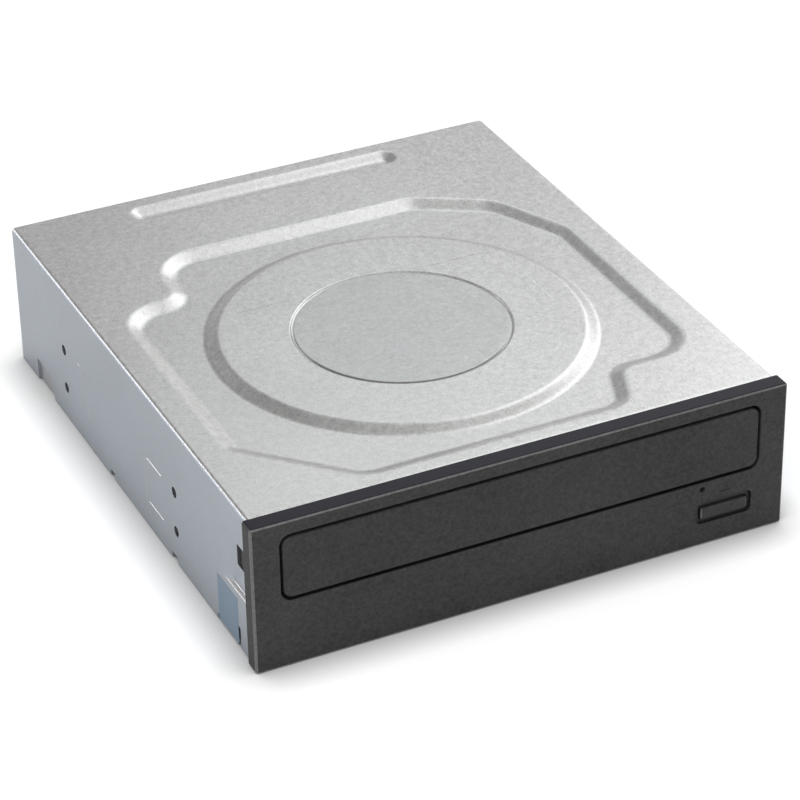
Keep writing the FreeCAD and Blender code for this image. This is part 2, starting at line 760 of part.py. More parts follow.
def bezel_hooks():
    """Snap hooks on the right side: one into the latch slot, one into the foot notch."""
    y0 = Y_FRONT + BEZEL_WALL
    z0 = Z_CASE + LATCH_LOW + HOOK_PLAY
    z1 = z0 + LATCH_H - 2 * HOOK_PLAY
    x_face = X_CASE - POCKET_DEPTH - SHEET - HOOK_PLAY
    y1 = Y_CASE + LATCH_FRONT + LATCH_L - HOOK_PLAY
    arm = box(x_face - LATCH_ARM, x_face, y0, y1, z0, z1)
    barb = wedge(x_face, X_CASE - POCKET_DEPTH, Y_CASE + LATCH_FRONT + HOOK_PLAY, y1, z0, z1)
    foot_x = X_LINER - HOOK_PLAY
    foot_z0 = Z_FLOOR + HOOK_PLAY
    foot_z1 = Z_CASE + FOOT_LATCH_H - HOOK_PLAY
    foot_y1 = Y_CASE + FOOT_LATCH_FRONT + FOOT_LATCH_L - HOOK_PLAY
    foot = box(foot_x - LATCH_ARM, foot_x, y0, foot_y1, foot_z0, foot_z1)
    foot_y0 = foot_y1 - FOOT_LATCH_L + 2 * HOOK_PLAY
    foot_barb = wedge(foot_x, X_CASE - HOOK_PLAY, foot_y0, foot_y1, foot_z0, foot_z1)
    return [arm, barb, foot, foot_barb]


def wedge(x0, x1, y0, y1, z0, z1):
    """A barb that is full height at y0 and runs out at y1."""
    points = [Vector(x0, y0, z0), Vector(x1, y0, z0), Vector(x0 + 0.2, y1, z0), Vector(x0, y1, z0)]
    return Part.Face(Part.makePolygon(points + points[:1])).extrude(Vector(0, 0, z1 - z0))


def button_centre_z():
    """Height of the middle of the button recess."""
    return BUTTON_Z + BUTTON_RECESS_UP


def front_bezel():
    """The bezel with its openings and snap hooks."""
    shell, additions, opening = bezel_shell()
    hooks = bezel_hooks()
    additions += hooks + [mirrored(h) for h in hooks]
    recess = front_plate(
        rectangle(BUTTON_RECESS_W, BUTTON_RECESS_H, 1.4),
        Y_FRONT - 1, Y_FRONT + BUTTON_RECESS_DEPTH, BUTTON_X, button_centre_z())
    through = front_plate(
        rectangle(BUTTON_W + 2 * BUTTON_GAP, BUTTON_H + 2 * BUTTON_GAP, 0.8),
        Y_FRONT - 1, Y_CASE, BUTTON_X, BUTTON_Z)
    holes = [
        rod_y(EJECT_HOLE_R, EJECT_HOLE_X, Y_FRONT - 1, Y_CASE, FRONT_MARK_Z),
        rod_y(STATUS_R + SHAFT_RUN, STATUS_X, Y_FRONT - 1, Y_CASE, FRONT_MARK_Z)]
    return [join([shell] + additions).cut([opening, recess, through] + holes)]


def eject_button():
    """Button cap, its flange behind the bezel wall and its stem."""
    y_back = Y_FRONT + BEZEL_WALL
    cap = front_plate(rectangle(BUTTON_W, BUTTON_H, 0.6), Y_FRONT + 0.1, y_back + 0.8, BUTTON_X, BUTTON_Z)
    flange = front_plate(
        rectangle(BUTTON_W + 1.6, BUTTON_H + 1.6, 0.6), y_back + HOOK_PLAY, y_back + 1.0, BUTTON_X, BUTTON_Z)
    stem = box(
        BUTTON_X - 1.5, BUTTON_X + 1.5, y_back + 0.9, Y_CASE + STEM_END, BUTTON_Z - 1.2, BUTTON_Z + 1.2)
    return [join([cap, flange, stem])]


def switch_plunger():
    """The plunger of the switch, which moves with the button."""
    y0 = Y_CASE + STEM_END
    return [rod_y(1.0, BUTTON_X, y0, y0 + 2.2, BUTTON_Z)]


def front_board_y():
    """Front face of the small front board."""
    return Y_CASE + 3.4


def eject_switch():
    """Square switch body with a bore for its plunger."""
    y1 = front_board_y()
    y0 = Y_CASE + STEM_END + BUTTON_TRAVEL + HOOK_PLAY
    body = box(BUTTON_X - 3, BUTTON_X + 3, y0, y1, BUTTON_Z - 2.2, BUTTON_Z + 2.2)
    return [body.cut(rod_y(1.0 + SHAFT_RUN, BUTTON_X, Y_CASE, y1, BUTTON_Z))]


def front_board():
    """Small upright board behind the button."""
    y0 = front_board_y()
    x1 = X_CHASSIS - CHASSIS_WALL
    return [box(X_FRONT_BOARD, x1, y0, y0 + BOARD_T, Z_FLOOR + FRONT_SHELF_T, BUTTON_Z + FRONT_BOARD_UP)]


def status_lens():
    """Light pipe from the bezel face back and down to the lamp on the front board."""
    y1 = Y_CASE + 1.9
    tip = rod_y(STATUS_R, STATUS_X, Y_FRONT + 0.05, Y_CASE + 0.6, FRONT_MARK_Z)
    leg = box(
        STATUS_X - STATUS_R, STATUS_X + STATUS_R, Y_CASE + 0.4, y1, BUTTON_Z - 1, FRONT_MARK_Z + STATUS_R)
    return [join([tip, leg])]


def status_lamp():
    """The lamp on the front board."""
    r = STATUS_R
    return [box(STATUS_X - r, STATUS_X + r, Y_CASE + 1.9, front_board_y(), BUTTON_Z - r, BUTTON_Z + r)]


# Chassis

def rail_z():
    """Top of the lower tray rails."""
    return Z_TRAY - RUN


def chassis_side():
    """The right wall: foot wall, rail, upper guide wall, lips and ribs."""
    y0 = Y_CASE + RUN
    y1 = Y_REAR - 2 * SHEET - RUN
    x_lip = X_GUIDE - RAIL_LIP
    z_rail = rail_z()
    solids = [
        box(X_CHASSIS - CHASSIS_WALL, X_CHASSIS, y0, y1, Z_FLOOR, z_rail),
        box(x_lip, X_CHASSIS, y0, y1, z_rail - RAIL_T, z_rail),
        box(X_GUIDE, X_GUIDE_OUT, y0, y1, z_rail - RAIL_T, Z_WALL)]
    for y in (y0, SPINDLE_Y + 26, y1 - 16):
        solids.append(box(x_lip, X_GUIDE, y, y + 16, Z_WALL - RAIL_T, Z_WALL))
    for i in range(6):
        y = Y_CASE + 26 + i * 25
        solids.append(box(X_GUIDE, X_CHASSIS, y, y + RIB_T, z_rail - RAIL_T, Z_WALL - 3))
    for y in bridge_screw_rows():
        solids.append(post(2.6, bridge_screw_x(), y, z_rail - RAIL_T, Z_WALL))
    return solids


def bridge_screw_x():
    """Distance of the bridge screws from the centre plane."""
    return X_GUIDE_OUT + BRIDGE_SCREW_OUT


def bridge_screw_rows():
    """Y of the two bridge screws on each side."""
    return (SPINDLE_Y - BRIDGE_HALF + 5, SPINDLE_Y + BRIDGE_HALF - 5)


def window_y():
    """Front and rear edge of the deck window."""
    return (SPINDLE_Y - WINDOW_AHEAD, Y_REAR - WINDOW_REAR)


def chassis_deck():
    """Deck with the front beam and the pivot bearings of the lift frame."""
    y0 = Y_CASE + RUN
    y1 = Y_REAR - 2 * SHEET - RUN
    x = X_CHASSIS - CHASSIS_WALL / 2
    z1 = Z_DECK + DECK_T
    front, rear = window_y()
    deck = box(-x, x, y0, y1, Z_DECK, z1)
    window = box(-WINDOW_W / 2, WINDOW_W / 2, front, rear, Z_DECK - 1, z1 + 1)
    right_gap = box(DECK_RIGHT, X_CHASSIS - CHASSIS_WALL, y0 - 1, front + 12, Z_DECK - 1, z1 + 1)
    beam = box(-x, X_UPRIGHT + 1, y0, y0 + 1.6, Z_FLOOR, z1)
    rib = box(DECK_RIGHT - RIB_T, DECK_RIGHT, y0, Y_CAM - 14, Z_FLOOR, Z_DECK + 0.5)
    shelf = box(X_UPRIGHT, x, y0 + 1.5, front_board_y() + RIBBON_END, Z_FLOOR, Z_FLOOR + FRONT_SHELF_T)
    upright = box(
        X_UPRIGHT, X_FRONT_BOARD, y0, front_board_y() + RIBBON_END, Z_FLOOR, BUTTON_Z + FRONT_BOARD_UP)
    bearing = box(
        WINDOW_W / 2 - 0.01, WINDOW_W / 2 + PIVOT_L, Y_PIVOT - 4.5, Y_PIVOT + 4.5, Z_PIVOT - 4, z1)
    return [deck.cut([window, right_gap]), beam, rib, shelf, upright] + both_sides(bearing)


def cam_guides():
    """Two hooks under the front deck that carry the flange of the cam slider."""
    guides = []
    y_flange = Y_CAM - CAM_FLANGE_W
    for x in (-CAM_PIN_X - 15.0, CAM_PIN_X - 7.0):
        guides.append(box(x, x + 7, y_flange - RUN - 1.6, y_flange - RUN, cam_flange_z() - 1.8, Z_DECK + 0.5))
        guides.append(box(
            x, x + 7, y_flange - RUN - 1.6, y_flange + 3, cam_flange_z() - 1.8, cam_flange_z() - RUN))
    return guides


def main_chassis():
    """Moulded chassis that carries the tray, the loading gears and the lift frame."""
    solids = chassis_side()
    solids += [mirrored(s) for s in solids]
    solids += chassis_deck() + cam_guides()
    for x, y in corner_screw_places():
        below_arm = x > 0 and y < 0
        z1 = cam_flange_z() - RUN if below_arm else Z_DECK + DECK_T
        solids.append(post(3.4, x, y, Z_FLOOR + DIMPLE_DEPTH, z1))
        a, b = sorted((x, math.copysign(X_CHASSIS - CHASSIS_WALL / 2, x)))
        solids.append(box(a, b, y - RIB_T / 2, y + RIB_T / 2, Z_FLOOR + DIMPLE_DEPTH, z1))
    solids.append(post(GEAR_AXLE_R, X_GEAR, Y_GEAR, Z_DECK, Z_TRAY - RUN))
    solids.append(post(GEAR_AXLE_R, pulley_x(), Y_GEAR, Z_DECK, Z_WHEEL + WHEEL_T + RUN + PULLEY_T + 0.6))
    cuts = []
    for x, y in corner_screw_places():
        cuts.append(post(SCREW_R, x, y, Z_FLOOR, Z_CASE + DIMPLE_DEPTH + SCREW_L + RUN))
        cuts.append(post(BOSS_FOOT_R + RUN, x, y, Z_FLOOR - 1, Z_FLOOR + DIMPLE_DEPTH))
    for y in bridge_screw_rows():
        cuts += both_sides(post(SCREW_R, bridge_screw_x(), y, Z_WALL - 7, Z_WALL + 1))
    for y, z in side_hole_places():
        cuts.append(rod_x(HOLE_R + 0.8, -X_CASE, -X_GUIDE_OUT, y, z))
        cuts.append(rod_x(HOLE_R + 0.8, X_GUIDE_OUT, X_CASE, y, z))
    for x, y in bottom_hole_places():
        cuts.append(box(x - 4, x + 4, y - 4, y + 4, Z_FLOOR - 1, Z_FLOOR + 7))
    cuts += both_sides(rod_x(PIVOT_R + SHAFT_RUN, FRAME_W / 2, WINDOW_W / 2 + PIVOT_L + 1, Y_PIVOT, Z_PIVOT))
    latch_end = Y_CASE + LATCH_FRONT + LATCH_L + 1.5
    cuts += both_sides(box(
        X_GUIDE_OUT, X_CASE, Y_CASE - 1, latch_end, Z_CASE + LATCH_LOW - 1.5, Z_WALL - 1))
    cuts.append(post(4.0, motor_x(), Y_GEAR, Z_DECK - 1, Z_DECK + DECK_T + 1))
    return [join(solids).cut(cuts)]


def clamp_bridge():
    """Sheet bridge across the tray with the round opening of the clamper."""
    x = X_CHASSIS
    strip = box(-x, x, SPINDLE_Y - BRIDGE_HALF, SPINDLE_Y + BRIDGE_HALF, Z_WALL, Z_WALL + BRIDGE_T)
    disc = post(CLAMP_FLANGE_R + 5, 0, SPINDLE_Y, Z_WALL, Z_WALL + BRIDGE_T)
    bead = rectangle(30, 6, 2.9)
    cuts = [post(CLAMP_HUB_R + 1.2, 0, SPINDLE_Y, Z_WALL - 1, Z_WALL + 2)]
    for side in (-1, 1):
        cuts.append(plate(bead, Z_WALL - 1, Z_WALL + 2, (side * 44, SPINDLE_Y)))
        for y in bridge_screw_rows():
            cuts.append(post(SCREW_R + SHAFT_RUN, side * bridge_screw_x(), y, Z_WALL - 1, Z_WALL + 2))
    return [join([strip, disc]).cut(cuts)]


def bridge_screws():
    """Four screws through the bridge into the chassis."""
    screws = []
    z = Z_WALL + BRIDGE_T
    for side in (-1, 1):
        for y in bridge_screw_rows():
            x = side * bridge_screw_x()
            head = post(BRIDGE_HEAD_R, x, y, z, z + SCREW_HEAD_T)
            shank = post(SCREW_R - SHAFT_RUN, x, y, z - BRIDGE_SCREW_L, z)
            screws.append(join([head, shank]))
    return screws


# Boards

def board_front():
    """Front edge of the main board."""
    return Y_REAR - SHEET - BOARD_REAR_GAP - BOARD_L


def main_board():
    """Controller board on the pressed supports of the floor."""
    x = X_CHASSIS - CHASSIS_WALL - BOARD_SIDE_GAP
    y1 = Y_REAR - SHEET - BOARD_REAR_GAP
    board = box(-x, x, board_front(), y1, Z_BOARD, Z_BOARD + BOARD_T)
    cuts = [post(SCREW_R + 0.1, px, py, Z_BOARD - 1, Z_BOARD + 3) for px, py in board_post_places()]
    for px, py in corner_screw_places():
        side = math.copysign(1, px)
        a, b = sorted((px - side * BOARD_NOTCH, side * (x + 1)))
        cuts.append(box(a, b, py - BOARD_NOTCH, py + BOARD_NOTCH, Z_BOARD - 1, Z_BOARD + 3))
    return [board.cut(cuts)]


def board_screws():
    """Four screws that hold the main board."""
    z = Z_BOARD + BOARD_T
    screws = []
    for x, y in board_post_places():
        head = post(2.4, x, y, z, z + SCREW_HEAD_T)
        shank = post(SCREW_R - SHAFT_RUN, x, y, z - BOARD_T - SHEET - 0.4, z)
        screws.append(join([head, shank]))
    return screws


def board_chips():
    """Controller, memory, drivers and ribbon sockets on the main board."""
    z = Z_BOARD + BOARD_T
    y = board_front()
    return [
        box(x - w / 2, x + w / 2, y + back - d / 2, y + back + d / 2, z, z + h)
        for x, back, w, d, h in CHIPS]


def plug_housing():
    """Data and power plug at the rear, with keyed contact blades in two mouths."""
    z0 = Z_BOARD + BOARD_T
    y1 = Y_REAR
    y0 = y1 - PLUG_L
    x0 = PLUG_X - PLUG_W / 2
    x1 = PLUG_X + PLUG_W / 2
    body = box(x0, x1, y0, y1, z0, z0 + PLUG_H)
    data = box(x1 - 12.5, x1 - 1.2, y0 + 2, y1 + 1, z0 + 1.0, z0 + PLUG_H - 1.0)
    power = box(x0 + 1.2, x1 - 13.7, y0 + 2, y1 + 1, z0 + 1.0, z0 + PLUG_H - 1.0)
    middle = z0 + PLUG_H / 2
    blades = []
    for a, b in ((x1 - 11.2, x1 - 2.8), (x0 + 2.8, x1 - 15.2)):
        blades.append(box(a, b, y0 + 1.5, y1 - 0.6, middle - 0.6, middle + 0.6))
        blades.append(box(a, a + 1.2, y0 + 1.5, y1 - 0.6, middle - 0.6, middle + 1.6))
    return [join([body.cut([data, power])] + blades)]


# Loading gears, belt and motor

def pulley_x():
    """X of the axle that carries pulley and small gear."""
    return X_GEAR + WHEEL_MODULE * (WHEEL_TEETH + PINION_TEETH) / 2


def motor_x():
    """X of the loading motor."""
    return pulley_x() + BELT_CENTRES


def pulley_z():
    """Underside of both belt pulleys."""
    return Z_WHEEL + WHEEL_T + RUN


def drive_gear():
    """Large wheel driven by the small gear, with the pinion that moves the tray rack."""
    bore = post(GEAR_AXLE_R + SHAFT_RUN, X_GEAR, Y_GEAR, Z_WHEEL - 1, Z_TRAY + 1)
    wheel = gear(WHEEL_MODULE, WHEEL_TEETH, X_GEAR, Y_GEAR, Z_WHEEL, Z_WHEEL + WHEEL_T, 0.0)
    web = wheel.cut(ring(13.2, 10.9, X_GEAR, Y_GEAR, Z_WHEEL + WHEEL_T - 1.2, Z_WHEEL + WHEEL_T))
    z0 = Z_WHEEL + WHEEL_T - 0.5
    pinion = gear(RACK_MODULE, RACK_TEETH, X_GEAR, Y_GEAR, z0, Z_TRAY - 2 * RUN, math.pi)
    return [join([web, pinion]).cut(bore)]


def pulley_gear():
    """Belt pulley with the small gear under it."""
    x = pulley_x()
    z0 = pulley_z()
    small = gear(WHEEL_MODULE, PINION_TEETH, x, Y_GEAR, Z_WHEEL, z0 + 0.4, math.pi / PINION_TEETH)
    return [join([grooved_pulley(x, PULLEY_R, z0), small]).cut(
        post(GEAR_AXLE_R + SHAFT_RUN, x, Y_GEAR, Z_WHEEL - 1, z0 + PULLEY_T + 1))]


def grooved_pulley(x, radius, z0):
    """A pulley with a groove for the square belt, whose groove floor lies one belt deep."""
    middle = z0 + PULLEY_T / 2
    floor_r = radius - BELT_T
    half = BELT_T / 2 + BELT_RUN
    return join([
        post(radius, x, Y_GEAR, z0, middle - half),
        post(floor_r, x, Y_GEAR, middle - half, middle + half),
        post(radius, x, Y_GEAR, middle + half, z0 + PULLEY_T)])


def motor_pulley():
    """Small pulley on the shaft of the loading motor."""
    x = motor_x()
    z0 = pulley_z()
    shaft = post(MOTOR_SHAFT_R, x, Y_GEAR, Z_DECK - 3, z0 + 1)
    return [join([grooved_pulley(x, MOTOR_PULLEY_R + BELT_T, z0), shaft])]


def drive_belt():
    """Square rubber belt round both pulleys."""
    z0 = pulley_z() + PULLEY_T / 2 - BELT_T / 2
    outer = belt_loop(PULLEY_R + BELT_RUN, MOTOR_PULLEY_R + BELT_T + BELT_RUN, z0)
    inner = belt_loop(PULLEY_R - BELT_T + BELT_RUN, MOTOR_PULLEY_R + BELT_RUN, z0)
    return [outer.cut(inner)]


def belt_loop(r0, r1, z0):
    """The area inside an open belt round two radii, as a plate of belt thickness."""
    x0 = pulley_x()
    x1 = motor_x()
    lean = math.acos((r0 - r1) / (x1 - x0))

    def at(x, r, angle):
        return Vector(x + r * math.cos(angle), Y_GEAR + r * math.sin(angle), z0)

    edges = [
        Part.Arc(at(x0, r0, lean), at(x0, r0, math.pi), at(x0, r0, -lean)).toShape(),
        Part.LineSegment(at(x0, r0, -lean), at(x1, r1, -lean)).toShape(),
        Part.Arc(at(x1, r1, -lean), at(x1, r1, 0), at(x1, r1, lean)).toShape(),
        Part.LineSegment(at(x1, r1, lean), at(x0, r0, lean)).toShape()]
    return Part.Face(Part.Wire(edges)).extrude(Vector(0, 0, BELT_T))


def loading_motor():
    """Flat direct-current motor under the deck."""
    x = motor_x()
    z0 = Z_DECK - LOAD_MOTOR_H
    can = post(LOAD_MOTOR_R, x, Y_GEAR, z0, Z_DECK)
    can = can.makeChamfer(MOTOR_EDGE, [e for e in can.Edges if e.BoundBox.ZMax < z0 + 0.01])
    return [can.cut(post(MOTOR_SHAFT_R + SHAFT_RUN, x, Y_GEAR, Z_DECK - 3.5, Z_DECK + 1))]


# Tray and door

def tray_y():
    """Front and rear end of the tray."""
    front = Y_FRONT + DOOR_T
    return front, front + TRAY_L


def disc_tray():
    """Tray with stepped disc recesses, a slot open to the rear and the rack underneath."""
    y0, y1 = tray_y()
    x = TRAY_W / 2
    blank = plate(rectangle(TRAY_W, y1 - y0, 2.0), Z_TRAY, Z_RIM, (0, (y0 + y1) / 2))
    cuts = [
        cone(DISC_POCKET_R, DISC_POCKET_R + 1.2, 0, SPINDLE_Y, Z_LEDGE, Z_RIM + 0.01),
        post(SMALL_DISC_R, 0, SPINDLE_Y, Z_SMALL, Z_LEDGE + 1),
        post(SLOT_HALF, 0, SPINDLE_Y, Z_TRAY - 1, Z_RIM),
        box(-SLOT_HALF, SLOT_HALF, SPINDLE_Y, y1 + 1, Z_TRAY - 1, Z_RIM + 1)]
    y_hollow = SPINDLE_Y + DISC_POCKET_R + 2.5
    pitch_x = -(x - RACK_INSET)
    rack_root = pitch_x - 1.25 * RACK_MODULE
    rack_back = rack_root - RACK_BACK
    inner = x - TRAY_WALL
    middle = (inner + SLOT_HALF + TRAY_WALL) / 2
    for x0, x1 in (
            (-inner, rack_back), (rack_root, -SLOT_HALF - TRAY_WALL),
            (SLOT_HALF + TRAY_WALL, middle - RIB_T / 2), (middle + RIB_T / 2, inner)):
        cuts.append(box(x0, x1, y_hollow, y1 - TRAY_WALL, Z_TRAY - 1, Z_RIM - TRAY_WALL))
    cuts.append(post(13, 0, y0 + 2, Z_LEDGE, Z_RIM + 1))
    teeth = rack(
        RACK_MODULE, pitch_x, rack_back, y0 + 11, y1, Y_GEAR, Z_RACK, Z_TRAY + 0.5)
    return [join([blank.cut(cuts), teeth])]


def tray_door():
    """Front door of the tray with its gripping ribs above and below the tray."""
    w = APERTURE_W - 2 * DOOR_GAP
    h = APERTURE_TOP - APERTURE_LOW - 2 * DOOR_GAP
    z = (APERTURE_TOP + APERTURE_LOW) / 2
    y1 = Y_FRONT + DOOR_T
    skin = front_plate(rectangle(w, h, APERTURE_R - DOOR_GAP), Y_FRONT, y1, 0, z)
    skin = skin.makeFillet(0.3, [e for e in skin.Edges if e.BoundBox.YMax < Y_FRONT + 0.01])
    lip_x = TRAY_W / 2 - DOOR_LIP_IN
    upper = box(-lip_x, lip_x, y1 - 0.5, y1 + DOOR_LIP, Z_RIM, Z_RIM + RIB_T)
    lower = box(-lip_x + RACK_INSET + 2.5, lip_x, y1 - 0.5, y1 + DOOR_LIP, Z_TRAY - RIB_T, Z_TRAY)
    return [join([skin, upper, lower])]


# Lift frame and cam slider

def frame_rear():
    """Rear face of the lift frame."""
    return Y_REAR - FRAME_REAR


def damper_places():
    """X and Y of the four rubber dampers."""
    rows = (Y_FRAME + FRAME_WALL + DAMPER_INSET - 1.5, frame_rear() - FRAME_WALL - DAMPER_INSET + 1.5)
    return [(side * DAMPER_X, y) for side in (-1, 1) for y in rows]


def lift_frame():
    """Ring frame with rear pivots, front cam pins and four damper seats."""
    x = FRAME_W / 2
    y1 = frame_rear()
    wall = FRAME_WALL
    z1 = Z_FRAME + FRAME_H
    outer = plate(rectangle(FRAME_W, y1 - Y_FRAME, 4.0), Z_FRAME, z1, (0, (Y_FRAME + y1) / 2))
    inner = plate(
        rectangle(FRAME_W - 2 * wall, y1 - Y_FRAME - 2 * wall, 1.5),
        Z_FRAME - 1, z1 + 1, (0, (Y_FRAME + y1) / 2))
    solids = [outer.cut(inner)]
    for px, py in damper_places():
        solids.append(post(DAMPER_R + 0.5, px, py, Z_FRAME, Z_FRAME + 2.0))
        side = math.copysign(1, px)
        a, b = sorted((px, side * (x - wall / 2)))
        solids.append(box(a, b, py - 3, py + 3, Z_FRAME, Z_FRAME + 2.0))
    for side in (-1, 1):
        a, b = sorted((side * (x - wall / 2), side * (WINDOW_W / 2 + PIVOT_L)))
        solids.append(rod_x(PIVOT_R, a, b, Y_PIVOT, Z_PIVOT))
        solids.append(rod_y(CAM_PIN_R, side * CAM_PIN_X, Y_CAM - 0.4, Y_FRAME + wall / 2, Z_PIVOT))
    cuts = [post(SCREW_R - 0.3, px, py, Z_FRAME - 1, Z_FRAME + 3) for px, py in damper_places()]
    return [join(solids).cut(cuts)]


def cam_flange_z():
    """Underside of the flange of the cam slider."""
    return Z_DECK - RUN - CAM_FLANGE_T


def cam_drop():
    """How far the front pins sink when the lift frame is down."""
    return (Y_PIVOT - Y_CAM - CAM_T / 2) * math.sin(math.radians(LIFT_ANGLE))


def slanted_slot(x0, z0, x1, z1, r):
    """Cutter along Y for a slot between two points."""
    dx, dz = unit((x0, z0), (x1, z1))
    y0 = Y_CAM - 1
    corners = [
        Vector(x0 - dz * r, y0, z0 + dx * r), Vector(x1 - dz * r, y0, z1 + dx * r),
        Vector(x1 + dz * r, y0, z1 - dx * r), Vector(x0 + dz * r, y0, z0 - dx * r)]
    band = Part.Face(Part.makePolygon(corners + corners[:1])).extrude(Vector(0, CAM_T + 2, 0))
    return join([band, rod_y(r, x0, y0, y0 + CAM_T + 2, z0), rod_y(r, x1, y0, y0 + CAM_T + 2, z1)])


def cam_slider():
    """Cross slider with two slanted slots, a guided flange and the ramp of the emergency release."""
    z0 = Z_FLOOR + 1.5 * RUN
    z1 = Z_FRAME + FRAME_H
    flange_z = cam_flange_z()
    arm_x0 = EJECT_HOLE_X - 3.5
    arm_x1 = EJECT_HOLE_X + 3.5
    ramp_y0 = Y_CASE + 3.0
    x0 = -CAM_PIN_X - CAM_TRAVEL - CAM_END
    wall = box(x0, arm_x1 - 12, Y_CAM, Y_CAM + CAM_T, z0, z1)
    flange = box(x0, arm_x1, Y_CAM - CAM_FLANGE_W, Y_CAM + 0.5, flange_z, flange_z + CAM_FLANGE_T)
    arm = box(arm_x0, arm_x1, ramp_y0, Y_CAM - 7, flange_z, flange_z + CAM_FLANGE_T)
    points = [
        Vector(arm_x0, ramp_y0 + 7, flange_z + 1), Vector(arm_x1, ramp_y0, flange_z + 1),
        Vector(arm_x1, ramp_y0 + 7, flange_z + 1)]
    ramp = Part.Face(Part.makePolygon(points + points[:1])).extrude(Vector(0, 0, 6.0))
    drop = cam_drop()
    slots = [
        slanted_slot(x, Z_PIVOT, x - CAM_TRAVEL, Z_PIVOT - drop, CAM_PIN_R + CAM_SLOT_RUN)
        for x in (-CAM_PIN_X, CAM_PIN_X)]
    return [join([wall, flange, arm, ramp]).cut(slots)]


def rubber_dampers():
    """Four grooved rubber bushes between lift frame and traverse plate."""
    bushes = []
    z0 = Z_FRAME + 2.0
    for x, y in damper_places():
        bushes.append(join([
            post(DAMPER_R, x, y, z0, Z_PLATE),
            post(DAMPER_NECK_R, x, y, Z_PLATE, Z_PLATE + PLATE_T),
            post(DAMPER_R, x, y, Z_PLATE + PLATE_T, Z_PLATE + PLATE_T + DAMPER_LIP)]).cut(
                post(SCREW_R, x, y, z0 - 1, Z_PLATE + PLATE_T + DAMPER_LIP + 1)))
    return bushes


def damper_screws():
    """Shoulder screws through the dampers."""
    screws = []
    z = Z_PLATE + PLATE_T + DAMPER_LIP
    for x, y in damper_places():
        head = post(DAMPER_R - 0.6, x, y, z, z + 1.2)
        shank = post(SCREW_R - 0.1, x, y, Z_FRAME + 2.0, z)
        thread = post(SCREW_R - 0.3, x, y, Z_FRAME + 0.2, Z_FRAME + 2.0)
        screws.append(join([head, shank, thread]))
    return screws


# Traverse: plate, spindle motor, rods, sled

def rod_tabs(x, r):
    """Two upright tabs of the plate that hold a rod at x."""
    y_front, y_rear = rod_ends()
    half = r + 1.2
    z1 = Z_ROD + r + 1.0
    return [
        box(x - half, x + half, y_front, y_front + 2, Z_PLATE, z1),
        box(x - half, x + half, y_rear - 2, y_rear, Z_PLATE, z1)]


def rod_ends():
    """Front and rear end of the guide rods."""
    return SPINDLE_Y + 2.0, frame_rear() - FRAME_WALL - 3.5


def traverse_plate():
    """Steel plate with a window for the pickup, rod tabs and a round seat for the spindle motor."""
    y0 = Y_FRAME + FRAME_WALL + 1.0
    y1 = frame_rear() - FRAME_WALL - 1.0
    half = FRAME_W / 2 - FRAME_WALL - 1.0
    sheet = plate(rectangle(2 * half, y1 - y0, 3.0), Z_PLATE, Z_PLATE + PLATE_T, (0, (y0 + y1) / 2))
    y_front, y_rear = rod_ends()
    x1 = X_SCREW + SLED_MOTOR_R + 2 * RUN
    window = box(-ROD_X - 4.5, x1, y_front + 2, y_rear - 2, Z_PLATE - 1, Z_PLATE + 9)
    seat = post(PLATTER_R + 0.3, 0, SPINDLE_Y, Z_PLATE - 1, Z_PLATE + 9)
    solids = [sheet.cut(window.cut(seat))]
    solids += rod_tabs(ROD_X, MAIN_ROD_R) + rod_tabs(-ROD_X, SUB_ROD_R)
    solids.append(box(
        X_SCREW - 2.6, X_SCREW + 2.6, y_front, y_front + 1.6, Z_PLATE, Z_ROD + LEAD_R + 1.2))
    cuts = [post(DAMPER_NECK_R, px, py, Z_PLATE - 1, Z_PLATE + 3) for px, py in damper_places()]
    cuts.append(rod_y(MAIN_ROD_R, ROD_X, y_front - 1, y_rear + 1, Z_ROD))
    cuts.append(rod_y(SUB_ROD_R, -ROD_X, y_front - 1, y_rear + 1, Z_ROD))
    cuts.append(rod_y(LEAD_R - LEAD_GROOVE + SHAFT_RUN, X_SCREW, y_front - 1, y_front + 3, Z_ROD))
    cuts.append(post(4.0, 0, SPINDLE_Y, Z_PLATE - 1, Z_PLATE + 3))
    return [join(solids).cut(cuts)]


def guide_rod(x, r):
    """Polished rod along which the pickup slides."""
    y_front, y_rear = rod_ends()
    return [rod_y(r, x, y_front, y_rear, Z_ROD)]


def spindle_motor():
    """Fixed part of the spindle motor: base, bearing sleeve and stator."""
    z0 = Z_PLATE + PLATE_T
    base = post(ROTOR_R + 1.2, 0, SPINDLE_Y, z0, z0 + 0.8)
    sleeve = post(4.0, 0, SPINDLE_Y, Z_PLATE - 3.5, rotor_top() - 1.8)
    stator = post(11.4, 0, SPINDLE_Y, z0 + 1.6, z0 + 6.6)
    gaps = []
    for i in range(9):
        gap = box(5.4, 10.2, -0.8, 0.8, z0 + 1, z0 + 7)
        gap.rotate(Vector(0, 0, 0), Vector(0, 0, 1), 40 * i)
        gap.translate(Vector(0, SPINDLE_Y, 0))
        gaps.append(gap)
    foot = post(5.2, 0, SPINDLE_Y, z0, z0 + 1.7)
    bore = post(SPINDLE_R + SHAFT_RUN, 0, SPINDLE_Y, Z_PLATE - 2.5, Z_PLATE + 20)
    return [join([base, sleeve, stator.cut(gaps), foot]).cut(bore)]


def rotor_top():
    """Top of the rotor cup, where the platter sits."""
    return Z_SEAT - SEAT_T - PLATTER_T


def spindle_rotor():
    """Rotor cup with its shaft."""
    top = rotor_top()
    z0 = Z_PLATE + PLATE_T + 0.8 + RUN
    cup = post(ROTOR_R, 0, SPINDLE_Y, z0, top)
    cup = cup.makeChamfer(ROTOR_EDGE, [e for e in cup.Edges if e.BoundBox.ZMin > top - 0.01])
    cup = cup.cut(post(ROTOR_R - ROTOR_WALL, 0, SPINDLE_Y, z0 - 1, top - 1.2))
    return [join([cup, post(SPINDLE_R, 0, SPINDLE_Y, Z_PLATE - 2, top)])]


